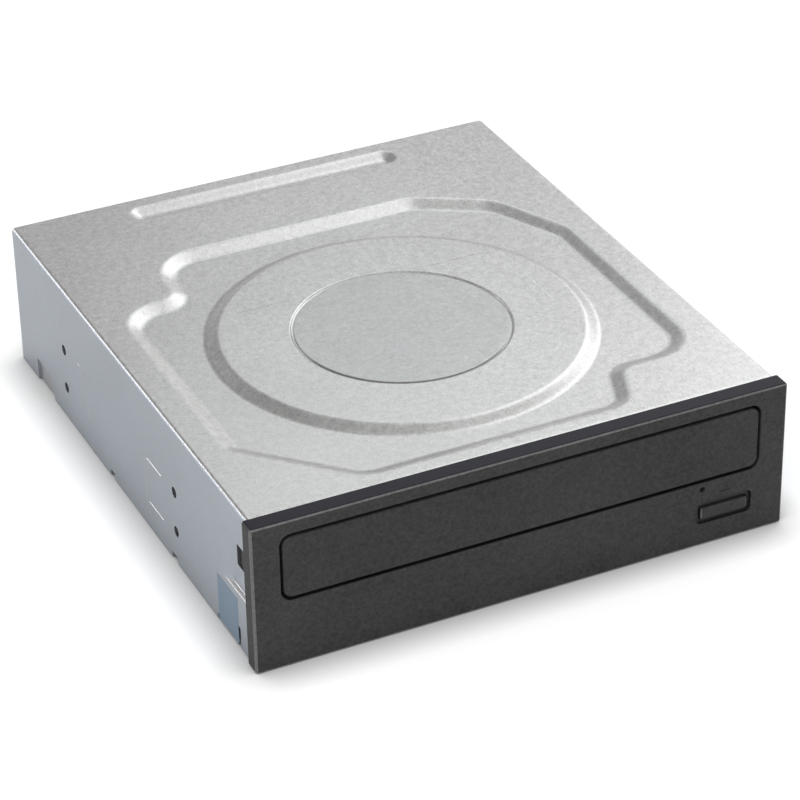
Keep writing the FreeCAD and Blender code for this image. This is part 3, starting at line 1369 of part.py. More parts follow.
def turntable():
    """Platter with the centring cone."""
    top = rotor_top()
    platter = post(PLATTER_R, 0, SPINDLE_Y, top, top + PLATTER_T)
    collar = post(CONE_R + 0.9, 0, SPINDLE_Y, top, top + PLATTER_T)
    nose = cone(CONE_R, CONE_R - 1.8, 0, SPINDLE_Y, Z_SEAT, Z_SEAT + CONE_H)
    neck = post(CONE_R, 0, SPINDLE_Y, top, Z_SEAT)
    claws = [box(CONE_R - 2.2, CONE_R + 1, -0.5, 0.5, Z_SEAT - 0.2, Z_SEAT + CONE_H + 1) for _ in range(3)]
    for i, claw in enumerate(claws):
        claw.rotate(Vector(0, 0, 0), Vector(0, 0, 1), 120 * i)
        claw.translate(Vector(0, SPINDLE_Y, 0))
    return [join([platter, collar, neck, nose]).cut(claws)]


def disc_seat_ring():
    """Rubber ring on which the disc lies."""
    z0 = Z_SEAT - SEAT_T
    return [ring(PLATTER_R - 0.5, CONE_R + 4.8, 0, SPINDLE_Y, z0, Z_SEAT)]


def pickup_y():
    """Front and rear of the pickup body."""
    return Y_LENS - PICKUP_FRONT, Y_LENS + PICKUP_REAR


def nut_y():
    """Front face of the half nut when the pickup is at its inner end."""
    return Y_LENS - PICKUP_FRONT + 2.0


def pickup_base():
    """Die-cast pickup body, hollowed round the spindle, with rod bearings and half nut."""
    y0, y1 = pickup_y()
    z0 = Z_PLATE - 1.0
    z1 = Z_ROD + PICKUP_TOP
    body = box(-22, 22, y0, y1, z0, z1)
    body = body.makeFillet(2.0, [e for e in body.Edges if abs(e.BoundBox.ZLength - (z1 - z0)) < 0.01])
    bearing_r = MAIN_ROD_R + ROD_BEARING_WALL
    main = rod_y(bearing_r, ROD_X, y0 + 1, y1 - 2, Z_ROD)
    bridge = box(20, ROD_X, y0 + 4, y1 - 4, Z_ROD - bearing_r + 0.3, Z_ROD + bearing_r - 0.6)
    fork_x = -ROD_X - SUB_ROD_R - 1.2
    fork_h = SUB_ROD_R + 1.4
    fork = box(fork_x, -20, Y_LENS - 3, Y_LENS + 5, Z_ROD - fork_h, Z_ROD + fork_h)
    slot_h = SUB_ROD_R + SHAFT_RUN
    nut_x1 = X_SCREW - LEAD_R - RUN
    nut = box(ROD_X + 1, nut_x1, nut_y(), nut_y() + NUT_L, Z_ROD - 2, Z_ROD + 2)
    cuts = [
        post(PLATTER_R + 1.0, 0, SPINDLE_Y, z0 - 1, z1 + 8),
        rod_y(MAIN_ROD_R + SHAFT_RUN, ROD_X, y0 - 1, y1 + 1, Z_ROD),
        box(-ROD_X - 8, -ROD_X + 2, Y_LENS - 4, Y_LENS + 6, Z_ROD - slot_h, Z_ROD + slot_h),
        box(-16, -8, Y_LENS - 4, y1 - 3, z1 - 2.4, z1 + 1),
        box(9, 18, Y_LENS - 5, y1 - 3, z1 - 3.0, z1 + 1)]
    return [join([body, main, bridge, fork, nut]).cut(cuts)]


def lens_cover():
    """Moulded cover over the lens actuator, open above the lens."""
    z0 = Z_ROD + PICKUP_TOP
    z1 = z0 + LENS_COVER_H
    hood = plate(rectangle(LENS_COVER_W, LENS_COVER_L, 2.5), z0, z1, (0, Y_LENS + 1.5))
    opening = post(LENS_R + 1.6, 0, Y_LENS, z0 + LENS_COVER_FLOOR, z1 + 1)
    return [hood.cut(opening)]


def objective_lens():
    """Small domed lens."""
    z0 = Z_ROD + PICKUP_TOP + LENS_COVER_FLOOR
    bowl = Part.makeSphere(4.2, Vector(0, Y_LENS, z0 + 2.2 - 4.2))
    core = post(LENS_R, 0, Y_LENS, z0, z0 + 3)
    return [bowl.common(core)]


def lead_screw():
    """Screw that drives the pickup, with a thinner journal in its front tab and in the motor."""
    y_front, _ = rod_ends()
    y1 = sled_motor_y()
    journal = rod_y(LEAD_R - LEAD_GROOVE, X_SCREW, y_front + 0.2, y1 + 3, Z_ROD)
    thread = rod_y(LEAD_R, X_SCREW, y_front + 1.6 + RUN, y1 - RUN, Z_ROD)
    return [join([journal, thread])]


def sled_motor_y():
    """Front face of the sled motor."""
    return nut_y() + NUT_L + SLED_TRAVEL + 1.8


def sled_motor():
    """Stepper motor at the rear of the lead screw, on its bracket."""
    y0 = sled_motor_y()
    can = rod_y(SLED_MOTOR_R, X_SCREW, y0, y0 + SLED_MOTOR_L, Z_ROD)
    z1 = Z_PLATE + PLATE_T
    face = box(
        X_SCREW - SLED_MOTOR_R, X_SCREW + SLED_MOTOR_R + 3, y0, y0 + 1.0, z1, Z_ROD + SLED_MOTOR_R)
    foot = box(X_SCREW + SLED_MOTOR_R + 0.7, X_SCREW + SLED_MOTOR_R + 3, y0, y0 + 6, z1, z1 + 1.0)
    bore = rod_y(LEAD_R - LEAD_GROOVE + SHAFT_RUN, X_SCREW, y0 - 1, y0 + 4, Z_ROD)
    return [join([can, face, foot]).cut(bore)]


# Clamper

def clamper():
    """Clamping puck whose flange rests on the bridge and whose hub presses the disc."""
    z_hub = Z_SEAT + DISC_T + 0.1
    z_flange = Z_WALL + BRIDGE_T + RUN
    z_top = Z_CLAMP
    hub = post(CLAMP_HUB_R, 0, SPINDLE_Y, z_hub, z_flange + 0.5)
    flange = post(CLAMP_FLANGE_R, 0, SPINDLE_Y, z_flange, z_top)
    hollow = post(CONE_R + 1.0, 0, SPINDLE_Y, z_hub - 1, z_hub + 3.2)
    pocket = post(YOKE_R + SHAFT_RUN, 0, SPINDLE_Y, z_top - YOKE_T, z_top + 1)
    return [join([hub, flange]).cut([hollow, pocket])]


def clamper_yoke():
    """Steel disc in the clamper that the turntable magnet pulls."""
    z_top = Z_CLAMP
    return [post(YOKE_R, 0, SPINDLE_Y, z_top - YOKE_T, z_top)]


# Small outside pieces

def damping_pad():
    """Round damping pad in the middle of the lid."""
    z0 = Z_LID - PAD_RECESS
    return [post(PAD_R, 0, SPINDLE_Y, z0, z0 + PAD_T)]


def seal_tape():
    """Blank strip of tape on the left side."""
    y0 = Y_CASE + TAPE_FRONT
    return [box(-X_CASE - TAPE_T, -X_CASE, y0, y0 + TAPE_L, Z_CASE + 0.7, Z_CASE + 0.7 + TAPE_H)]


def front_ribbon():
    """Flat cable on the floor from the front board to the main board."""
    x0 = FLOOR_PANEL_W / 2 + RUN
    y0 = front_board_y() + RIBBON_END + RUN
    x1 = x0 + RIBBON_W
    flat = box(x0, x1, y0, board_front() + RIBBON_END, Z_FLOOR, Z_FLOOR + RIBBON_T)
    rise = box(x0, x1, y0, y0 + RIBBON_T, Z_FLOOR, Z_FLOOR + RIBBON_RISE)
    return [join([flat, rise])]


NODES = {
    "top_cover": top_cover,
    "bottom_cover": bottom_cover,
    "cover_screws": cover_screws,
    "front_bezel": front_bezel,
    "damping_pad": damping_pad,
    "seal_tape": seal_tape,
    "status_lens": status_lens,
    "status_lamp": status_lamp,
    "front_board": front_board,
    "eject_switch": eject_switch,
    "switch_plunger": switch_plunger,
    "eject_button": eject_button,
    "front_ribbon": front_ribbon,
    "main_chassis": main_chassis,
    "clamp_bridge": clamp_bridge,
    "bridge_screws": bridge_screws,
    "main_board": main_board,
    "board_chips": board_chips,
    "board_screws": board_screws,
    "plug_housing": plug_housing,
    "disc_tray": disc_tray,
    "tray_door": tray_door,
    "drive_gear": drive_gear,
    "pulley_gear": pulley_gear,
    "motor_pulley": motor_pulley,
    "drive_belt": drive_belt,
    "loading_motor": loading_motor,
    "cam_slider": cam_slider,
    "lift_frame": lift_frame,
    "rubber_dampers": rubber_dampers,
    "damper_screws": damper_screws,
    "traverse_plate": traverse_plate,
    "spindle_motor": spindle_motor,
    "spindle_rotor": spindle_rotor,
    "turntable": turntable,
    "disc_seat_ring": disc_seat_ring,
    "pickup_base": pickup_base,
    "lens_cover": lens_cover,
    "objective_lens": objective_lens,
    "lead_screw": lead_screw,
    "sled_motor": sled_motor,
    "clamper": clamper,
    "clamper_yoke": clamper_yoke,
}

os.makedirs("parts", exist_ok=True)
for node, make in NODES.items():
    save(node, make())
save("main_guide_rod", guide_rod(ROD_X, MAIN_ROD_R))
save("sub_guide_rod", guide_rod(-ROD_X, SUB_ROD_R))
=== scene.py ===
# %% [markdown]
# # An internal disc drive, dressed in Blender
# The real object is a folded box of zinc-coated sheet with a moulded front.
# Its solids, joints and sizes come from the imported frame. This file gives every
# surface its finish, and builds again, as fine meshes, the pieces whose light
# and shadow carry the picture: the drawn lid, the bezel and the tray door.

# %% Load the frame
import json
import math

import bmesh
import bpy
from mathutils import Matrix, Vector
from mathutils.geometry import tessellate_polygon


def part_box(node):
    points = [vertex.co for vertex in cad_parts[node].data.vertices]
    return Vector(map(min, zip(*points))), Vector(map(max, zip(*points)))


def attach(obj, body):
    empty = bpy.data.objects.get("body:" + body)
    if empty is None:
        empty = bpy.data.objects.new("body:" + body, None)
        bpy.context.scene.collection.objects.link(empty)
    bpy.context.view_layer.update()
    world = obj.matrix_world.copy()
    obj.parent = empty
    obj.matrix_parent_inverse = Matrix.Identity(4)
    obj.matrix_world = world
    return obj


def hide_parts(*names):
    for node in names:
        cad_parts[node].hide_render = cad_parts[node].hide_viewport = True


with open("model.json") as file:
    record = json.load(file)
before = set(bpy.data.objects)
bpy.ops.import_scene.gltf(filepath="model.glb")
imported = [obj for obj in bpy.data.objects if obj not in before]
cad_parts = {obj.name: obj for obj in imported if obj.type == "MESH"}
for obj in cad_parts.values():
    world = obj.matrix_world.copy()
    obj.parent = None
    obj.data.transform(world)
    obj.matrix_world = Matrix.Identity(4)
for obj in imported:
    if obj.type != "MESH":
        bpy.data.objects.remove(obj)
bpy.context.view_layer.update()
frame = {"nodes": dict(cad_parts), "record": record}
nodes = frame["nodes"]
print("CAD nodes:", len(nodes))

# %% [markdown]
# ## Measures
# Lengths are in metres. What can be read from the frame is read from it, so that
# the fine meshes sit exactly on the solids they stand for.

# %% Measures read from the solids
MM = 0.001
case_low, case_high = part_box("top_cover")
bezel_low, bezel_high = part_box("front_bezel")
door_low, door_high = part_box("tray_door")
button_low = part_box("eject_button")[0]
pad_low, pad_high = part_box("damping_pad")
spindle_y = (pad_low.y + pad_high.y) / 2
pad_r = (pad_high.x - pad_low.x) / 2
bezel_front = bezel_low.y
bezel_back = case_low.y
lid_z = case_high.z
case_x = case_high.x
print("case", [round(v / MM, 2) for v in case_high - case_low], "mm")
print("spindle at y", round(spindle_y / MM, 2), "mm")

# %% [markdown]
# ## Helpers
# Materials and node trees are written out in code. These helpers place a node,
# set its values and link it, so that a finish reads as a short list of steps.

# %% Placing nodes, materials and objects
def put(tree, kind, inputs=None, **settings):
    """Add a node, set its settings, and set or link its inputs by name or number."""
    new = tree.nodes.new(kind)
    for name, value in settings.items():
        setattr(new, name, value)
    for name, value in (inputs or {}).items():
        if isinstance(value, bpy.types.NodeSocket):
            tree.links.new(value, new.inputs[name])
        else:
            new.inputs[name].default_value = value
    return new


def ramp(tree, source, low, high, out_low=0.0, out_high=1.0):
    """Map a value's range to another range, held at its ends."""
    ranges = {"Value": source, "From Min": low, "From Max": high, "To Min": out_low, "To Max": out_high}
    return put(tree, "ShaderNodeMapRange", ranges).outputs["Result"]


def maths(tree, operation, a, b=0.0):
    """One step of arithmetic on two values."""
    return put(tree, "ShaderNodeMath", {0: a, 1: b}, operation=operation).outputs[0]


def times(tree, a, b):
    """Two values multiplied."""
    return maths(tree, "MULTIPLY", a, b)


def blend_colours(tree, factor, a, b, blend_type="MIX"):
    """Mix two colours by a factor."""
    inputs = {0: factor, 6: a, 7: b}
    return put(tree, "ShaderNodeMix", inputs, data_type="RGBA", blend_type=blend_type).outputs[2]


def shader_group(name, inputs, outputs):
    """An empty shader node group with named inputs and their usual values, and named outputs."""
    group = bpy.data.node_groups.new(name, "ShaderNodeTree")
    for title, usual in inputs.items():
        socket = group.interface.new_socket(title, in_out="INPUT", socket_type="NodeSocketFloat")
        socket.default_value = usual
    for title in outputs:
        group.interface.new_socket(title, in_out="OUTPUT", socket_type="NodeSocketFloat")
    return group, group.nodes.new("NodeGroupInput"), group.nodes.new("NodeGroupOutput")


def start_material(name, metallic):
    """A material with its shader, ready for links."""
    material = bpy.data.materials.new(name)
    material.use_nodes = True
    shader = material.node_tree.nodes["Principled BSDF"]
    shader.inputs["Metallic"].default_value = metallic
    return material, material.node_tree, shader


def add_object(name, data):
    """A new object in the scene."""
    obj = bpy.data.objects.new(name, data)
    bpy.context.scene.collection.objects.link(obj)
    return obj


print("helpers ready")

# %% [markdown]
# ## Camera
# The photograph looks down on the left front corner of the drive. The lens is
# long, so the edges stay nearly parallel. The place and the three angles come
# from a fit of the case's corners, with square pixels.

# %% Camera at the photograph's angle
CAMERA_PLACE = Vector((-0.30380, -0.66364, 0.45748))
CAMERA_ANGLES = ((-24.983, "Z"), (58.558, "X"), (-1.123, "Z"))
LENS_MM = 142.73
SENSOR_MM = 36.0

lens = bpy.data.cameras.new("photo_camera")
lens.sensor_width = SENSOR_MM
lens.lens = LENS_MM
lens.clip_start = 0.01
camera = add_object("photo_camera", lens)
placing = Matrix.Translation(CAMERA_PLACE)
for angle, axis in CAMERA_ANGLES:
    placing = placing @ Matrix.Rotation(math.radians(angle), 4, axis)
camera.matrix_world = placing
bpy.context.scene.camera = camera
bpy.context.scene.view_settings.view_transform = "Standard"
print("camera at", [round(v, 3) for v in CAMERA_PLACE], "m with a", LENS_MM, "mm lens")

# %% [markdown]
# ## Floor, background and lamps
# The photograph is a product shot on white. The floor is a pale sheet that keeps
# the drive's shadow. The world is white where the camera sees it. Bare zinc
# shows its form by what it mirrors, so one side of the world is greyer, as the
# dark end of a studio is: walls that lean towards it turn dark. The paper is a
# little darker where the drive is close to it, so that the contact shadow stays.

# %% Pale floor
FLOOR_HALF = 4.0
PAPER, PAPER_NEAR, PAPER_GLOW = (0.88, 0.88, 0.88, 1), (0.25, 0.25, 0.25, 1), 0.42
CONTACT_REACH = 12 * MM
floor_mesh = bpy.data.meshes.new("studio_floor")
corners = [(x * FLOOR_HALF, y * FLOOR_HALF, 0) for x, y in ((-1, -1), (1, -1), (1, 1), (-1, 1))]
floor_mesh.from_pydata(corners, [], [(0, 1, 2, 3)])
floor = add_object("studio_floor", floor_mesh)
paper, tree, shader = start_material("studio_paper", 0.0)
shader.inputs["Roughness"].default_value = 0.9
shader.inputs["Emission Color"].default_value = (1, 1, 1, 1)
near = put(tree, "ShaderNodeAmbientOcclusion", {"Distance": CONTACT_REACH}).outputs["AO"]
tree.links.new(blend_colours(tree, near, PAPER_NEAR, PAPER), shader.inputs["Base Color"])
seen = put(tree, "ShaderNodeLightPath").outputs["Is Camera Ray"]
glow = times(tree, times(tree, near, near), PAPER_GLOW)
tree.links.new(times(tree, seen, glow), shader.inputs["Emission Strength"])
floor_mesh.materials.append(paper)
print("floor", 2 * FLOOR_HALF, "m square")

# %% White world with a greyer end
WORLD_FILL = 0.62
GREY_END = (-0.66, 0.70, 0.28)
world = bpy.data.worlds.new("studio_world")
bpy.context.scene.world = world
world.use_nodes = True
tree = world.node_tree
tree.nodes.clear()
direction = put(tree, "ShaderNodeTexCoord").outputs["Generated"]
nearness = put(tree, "ShaderNodeVectorMath", {0: direction, 1: GREY_END}, operation="DOT_PRODUCT")
shade = ramp(tree, nearness.outputs["Value"], 0.10, 0.92, 0.72, 0.33)
height = put(tree, "ShaderNodeSeparateXYZ", {0: direction}).outputs["Z"]
horizon = ramp(tree, height, 0.04, 0.16, 1.5, 0.0)
shade = maths(tree, "MAXIMUM", shade, horizon)
rays = put(tree, "ShaderNodeLightPath")
direct = maths(tree, "MAXIMUM", rays.outputs["Is Camera Ray"], rays.outputs["Is Transmission Ray"])
mirrored = times(tree, rays.outputs["Is Glossy Ray"], shade)
spread = times(tree, maths(tree, "SUBTRACT", 1.0, rays.outputs["Is Glossy Ray"]), WORLD_FILL)
strength = maths(tree, "MAXIMUM", direct, maths(tree, "ADD", mirrored, spread))
studio = put(tree, "ShaderNodeBackground", {"Color": (1, 1, 1, 1), "Strength": strength})
put(tree, "ShaderNodeOutputWorld", {"Surface": studio.outputs[0]})
print("world fill", WORLD_FILL)

# %% Soft lamps
AIM = Vector((0, 0, 20 * MM))


def soft_lamp(name, place, width, power, colour=(1, 1, 1), for_metal=True):
    """A square area lamp turned to the drive: a panel for metal to mirror, or plain light."""
    data = bpy.data.lights.new(name, "AREA")
    data.size = width
    data.energy = power
    data.color = colour
    lamp = add_object(name, data)
    facing = (AIM - Vector(place)).to_track_quat("-Z", "Y").to_matrix().to_4x4()
    lamp.matrix_world = Matrix.Translation(place) @ facing
    lamp.visible_diffuse = not for_metal
    lamp.visible_glossy = for_metal
    return lamp


lamps = [
    soft_lamp("key_lamp", (0.83, 0.53, 0.70), 0.75, 2.6, (0.97, 1.0, 1.0)),
    soft_lamp("lid_lamp", (0.17, 0.41, 0.42), 0.2, 0.11, (0.92, 1.0, 0.99)),
    soft_lamp("fold_lamp", (-0.52, 0.70, 0.34), 0.26, 0.9, (0.95, 0.95, 1.0)),
    soft_lamp("over_lamp", (0.29, 0.16, 0.74), 0.3, 0.30, (0.97, 1.0, 1.0)),
    soft_lamp("front_lamp", (-0.45, -0.60, 0.85), 0.7, 3.8, for_metal=False),
]
print("lamps:", ", ".join(lamp.name for lamp in lamps))

# %% [markdown]
# ## Outlines and skins
# The drive is made of drawn sheet and moulded plastic, so most of its skin is
# flat areas joined by narrow rounded bands. A flat area is filled between closed
# outlines. A band is a strip of quads between two copies of one outline, so the
# outline is laid out once, with a fixed number of points on each corner.

# %% Rounded outlines
CORNER_STEPS = 10


def heading(a, b):
    """Direction from a to b in the plane."""
    length = math.hypot(b[0] - a[0], b[1] - a[1])
    return ((b[0] - a[0]) / length, (b[1] - a[1]) / length)


def inset(outline, width):
    """A clockwise outline of (x, y, corner radius), moved inwards."""
    moved = []
    count = len(outline)
    for i, (x, y, r) in enumerate(outline):
        d0 = heading(outline[i - 1], outline[i])
        d1 = heading(outline[i], outline[(i + 1) % count])
        cross = d0[0] * d1[1] - d0[1] * d1[0]
        along = width * (1 - d0[0] * d1[0] - d0[1] * d1[1]) / cross
        dx, dy = width * d0[1] + along * d0[0], -width * d0[0] + along * d0[1]
        moved.append((x + dx, y + dy, r - width))
    return moved


def trace(outline, steps=CORNER_STEPS):
    """The points round an outline: steps + 1 on each corner, also where its radius is nothing."""
    points = []
    count = len(outline)
    for i, (x, y, r) in enumerate(outline):
        d0 = heading(outline[i - 1], outline[i])
        d1 = heading(outline[i], outline[(i + 1) % count])
        turn = math.atan2(d0[0] * d1[1] - d0[1] * d1[0], d0[0] * d1[0] + d0[1] * d1[1])
        reach = abs(r) * math.tan(abs(turn) / 2)
        side = 1 if turn > 0 else -1
        start = (x - d0[0] * reach, y - d0[1] * reach)
        middle = (start[0] - d0[1] * side * abs(r), start[1] + d0[0] * side * abs(r))
        for k in range(steps + 1):
            a = turn * k / steps
            px, py = start[0] - middle[0], start[1] - middle[1]
            points.append((
                middle[0] + px * math.cos(a) - py * math.sin(a),
                middle[1] + px * math.sin(a) + py * math.cos(a)))
    return points


def block_outline(w, h, r, x=0.0, y=0.0):
    """A clockwise rectangle with rounded corners, centred on x and y."""
    return [(x + a * w / 2, y + b * h / 2, r) for a, b in ((-1, 1), (1, 1), (1, -1), (-1, -1))]


def circle(r, x=0.0, y=0.0, steps=96):
    """Points round a circle, clockwise."""
    angles = [-2 * math.pi * k / steps for k in range(steps)]
    return [(x + r * math.cos(a), y + r * math.sin(a)) for a in angles]


def quarter(steps):
    """Sine and cosine at even steps of a quarter turn."""
    angles = [math.pi / 2 * k / steps for k in range(steps + 1)]
    return [(math.sin(a), math.cos(a)) for a in angles]


def wall_share(s, soft=0.3):
    """How far down a drawn wall is at a share s of its width: soft bends at both ends."""
    full = 1 - soft
    if s < soft:
        return s * s / (2 * soft * full)
    if s > full:
        return 1 - (1 - s) ** 2 / (2 * soft * full)
    return (s - soft / 2) / full


print("a rectangle with round corners has", len(trace(block_outline(20, 10, 2))), "points")

# %% Skins of flats and bands
def on_lid(z):
    """Place flat points at a height."""
    return lambda a, b: (a, b, z)


def settle(obj, crease=32.0):
    """Turn an object and its modifiers into a plain mesh with smooth bands and true flats."""
    def bake():
        view = bpy.context.evaluated_depsgraph_get()
        plain = bpy.data.meshes.new_from_object(obj.evaluated_get(view))
        obj.modifiers.clear()
        obj.data = plain
        plain.name = obj.name

    bake()
    obj.data.shade_smooth()
    obj.data.set_sharp_from_angle(angle=math.radians(crease))
    weigh = obj.modifiers.new("weigh", "WEIGHTED_NORMAL")
    weigh.keep_sharp = True
    weigh.weight = 100
    bake()
    return obj


class Skin:
    """Points in millimetres and faces, gathered piece by piece and then made a mesh."""

    def __init__(self):
        self.points = []
        self.faces = []

    def ring(self, flat, place):
        """Add a row of flat points, each put in space by place(a, b)."""
        first = len(self.points)
        self.points += [place(a, b) for a, b in flat]
        return list(range(first, len(self.points)))

    def band(self, a, b, closed=True):
        """Quads between two rows of the same length."""
        count = len(a)
        for i in range(count if closed else count - 1):
            j = (i + 1) % count
            self.faces.append((a[i], a[j], b[j], b[i]))

    def bands(self, rows, closed=True):
        """Quads through several rows."""
        for a, b in zip(rows, rows[1:]):
            self.band(a, b, closed)

    def fill(self, outer, holes=()):
        """A flat area inside a row of points, less the rows inside it."""
        rows = [outer, *holes]
        loops = [[Vector(self.points[i]) for i in row] for row in rows]
        order = [i for row in rows for i in row]
        self.faces += [tuple(order[i] for i in triangle) for triangle in tessellate_polygon(loops)]

    def box(self, low, high):
        """A closed block."""
        first = len(self.points)
        xs, ys, zs = zip(low, high)
        self.points += [(x, y, z) for x in xs for y in ys for z in zs]
        for face in ((0, 1, 3, 2), (4, 6, 7, 5), (0, 4, 5, 1), (2, 3, 7, 6), (0, 2, 6, 4), (1, 5, 7, 3)):
            self.faces.append(tuple(first + i for i in face))

    def prism(self, flat, z0, z1):
        """A closed block with any flat outline, from z0 to z1."""
        low, high = self.ring(flat, on_lid(z0)), self.ring(flat, on_lid(z1))
        self.band(low, high)
        self.fill(low)
        self.fill(high)

    def piece(self, name, material, outward=None, sheet=0.0, crease=32.0):
        """A scene object in metres. outward is a direction that the open skin faces at its top."""
        mesh = bpy.data.meshes.new(name)
        mesh.from_pydata([Vector(p) * MM for p in self.points], [], self.faces)
        form = bmesh.new()
        form.from_mesh(mesh)
        bmesh.ops.remove_doubles(form, verts=form.verts, dist=1e-6)
        bmesh.ops.dissolve_degenerate(form, edges=form.edges, dist=1e-7)
        bmesh.ops.recalc_face_normals(form, faces=form.faces)
        if outward is not None:
            biggest = max(form.faces, key=lambda f: f.calc_area() * abs(f.normal.dot(outward)))
            if biggest.normal.dot(outward) < 0:
                bmesh.ops.reverse_faces(form, faces=form.faces)
        form.to_mesh(mesh)
        form.free()
        obj = add_object(name, mesh)
        mesh.materials.append(material)
        if sheet:
            wall = obj.modifiers.new("sheet", "SOLIDIFY")
            wall.thickness = sheet * MM
            wall.offset = -1
            wall.use_even_offset = True
        return settle(obj, crease)


print("skin tools ready")

# %% [markdown]
# ## Shared surface effects
# Four effects come back on several finishes, so each is a node group: the sandy
# spangle of zinc-coated sheet, the fine spark-eroded grain of moulded plastic,
# rubbed edges, and the thin dust that lies on faces that look up.

# %% Spangle of zinc-coated sheet
def noise(tree, source, scale, detail=2.0, roughness=0.5):
    """Noise on a place in metres, with its features' size given by scale."""
    return put(tree, "ShaderNodeTexNoise", {
        "Vector": source, "Scale": scale, "Detail": detail, "Roughness": roughness}).outputs["Fac"]


def object_place(tree):
    """The place on the piece, in metres."""
    return put(tree, "ShaderNodeTexCoord").outputs["Object"]


def around_half(tree, value, contrast):
    """A value spread out from one half by a contrast."""
    return maths(tree, "ADD", times(tree, maths(tree, "SUBTRACT", value, 0.5), contrast), 0.5)


spangle, given, out = shader_group(
    "sheet_spangle", {"Grain Scale": 2600.0, "Cloud Scale": 14.0, "Contrast": 0.5},
    ["Tone", "Height", "Cloud"])
place = object_place(spangle)
grain = noise(spangle, place, given.outputs["Grain Scale"], 3.0, 0.65)
coarse = noise(spangle, place, times(spangle, given.outputs["Grain Scale"], 0.34), 2.0, 0.6)
mixed = maths(spangle, "ADD", times(spangle, grain, 0.62), times(spangle, coarse, 0.38))
tone = around_half(spangle, mixed, given.outputs["Contrast"])
cloud = noise(spangle, place, given.outputs["Cloud Scale"], 3.0, 0.55)
spangle.links.new(tone, out.inputs["Tone"])
spangle.links.new(mixed, out.inputs["Height"])
spangle.links.new(cloud, out.inputs["Cloud"])
print("group:", spangle.name)

# %% Grain of moulded plastic
moulded, given, out = shader_group(
    "moulded_grain", {"Grain Scale": 2400.0, "Contrast": 0.4}, ["Tone", "Height"])
place = object_place(moulded)
cells = {"Vector": place, "Scale": given.outputs["Grain Scale"]}
pits = put(moulded, "ShaderNodeTexVoronoi", cells, feature="SMOOTH_F1").outputs["Distance"]
fine = noise(moulded, place, given.outputs["Grain Scale"], 2.0, 0.6)
rough_face = maths(moulded, "ADD", times(moulded, pits, 0.6), times(moulded, fine, 0.5))
streaks = noise(moulded, place, 35.0, 3.0, 0.6)
mixed = maths(moulded, "ADD", times(moulded, fine, 0.7), times(moulded, streaks, 0.3))
moulded.links.new(around_half(moulded, mixed, given.outputs["Contrast"]), out.inputs["Tone"])
moulded.links.new(rough_face, out.inputs["Height"])
print("group:", moulded.name)

# %% Rubbed edges
rubbed, given, out = shader_group("rubbed_edges", {"Start": 0.52, "Full": 0.62, "Amount": 1.0}, ["Mask"])
bend = put(rubbed, "ShaderNodeNewGeometry").outputs["Pointiness"]
patch = ramp(rubbed, noise(rubbed, object_place(rubbed), 260.0, 3.0), 0.35, 0.65, 0.35, 1.0)
edge = put(rubbed, "ShaderNodeMapRange", {
    "Value": bend, "From Min": given.outputs["Start"], "From Max": given.outputs["Full"]}).outputs["Result"]
mask = times(rubbed, times(rubbed, edge, patch), given.outputs["Amount"])
rubbed.links.new(mask, out.inputs["Mask"])
print("group:", rubbed.name)

# %% Thin dust
dusty, given, out = shader_group("thin_dust", {"Amount": 0.15, "Scale": 60.0}, ["Mask"])
normal = put(dusty, "ShaderNodeNewGeometry").outputs["Normal"]
lying = ramp(dusty, put(dusty, "ShaderNodeSeparateXYZ", {0: normal}).outputs["Z"], 0.4, 1.0)
drift = ramp(dusty, noise(dusty, object_place(dusty), given.outputs["Scale"], 4.0, 0.65), 0.42, 0.72)
mask = times(dusty, times(dusty, lying, drift), given.outputs["Amount"])
dusty.links.new(mask, out.inputs["Mask"])
print("group:", dusty.name)

# %% [markdown]
# ## Finishes
# One maker for bare metal and one for moulded plastic or rubber cover most of the
# drive. Each takes its colour, gloss and grain by value, so that neighbours of
# one kind still differ as the real ones do. A table per maker holds the values.

# %% A maker for metal finishes
RELIEF = 0.1 * MM


def tint(colour, factor):
    """A colour made lighter or darker, with full alpha."""
    return (*[min(1.0, c * factor) for c in colour], 1.0)


def use_group(tree, group, values):
    """Place a shared group with its own values."""
    new = put(tree, "ShaderNodeGroup", node_tree=group)
    for name, value in values.items():
        new.inputs[name].default_value = value
    return new.outputs


def link_surface(tree, shader, base, tone, rough, spread, bump, height):
    """Link a shader's colour, its roughness by the grain's tone, and its relief."""
    tree.links.new(base, shader.inputs["Base Color"])
    tree.links.new(ramp(tree, tone, 0.3, 0.7, rough - spread, rough + spread), shader.inputs["Roughness"])
    relief = put(tree, "ShaderNodeBump", {"Strength": bump, "Distance": RELIEF, "Height": height})
    tree.links.new(relief.outputs[0], shader.inputs["Normal"])


def metal(name, colour, rough, grain_scale, contrast, bump, cloud, worn=0.0, brushed=0.0):
    """Bare or plated metal with a spangle, slow clouds, rubbed edges and brush lines."""
    material, tree, shader = start_material(name, 1.0)
    sand = use_group(tree, spangle, {"Grain Scale": grain_scale, "Contrast": contrast})
    base = blend_colours(tree, sand["Tone"], tint(colour, 0.62), tint(colour, 1.38))
    clouds = ramp(tree, sand["Cloud"], 0.3, 0.7, 1 - cloud, 1 + cloud / 2)
    grey = put(tree, "ShaderNodeCombineColor", {0: clouds, 1: clouds, 2: clouds}).outputs[0]
    base = blend_colours(tree, 1.0, base, grey, "MULTIPLY")
    height = sand["Height"]
    if brushed:
        stretch = {"Vector": object_place(tree), "Scale": (1.0, 40.0, 40.0)}
        lines = noise(tree, put(tree, "ShaderNodeMapping", stretch).outputs[0], 90.0, 4.0, 0.7)
        height = maths(tree, "ADD", height, times(tree, lines, brushed))
    if worn:
        rub = use_group(tree, rubbed, {"Amount": worn})
        base = blend_colours(tree, rub["Mask"], base, tint(colour, 1.5))
    link_surface(tree, shader, base, sand["Tone"], rough, 0.06, bump, height)
    return material


print("metal maker ready")

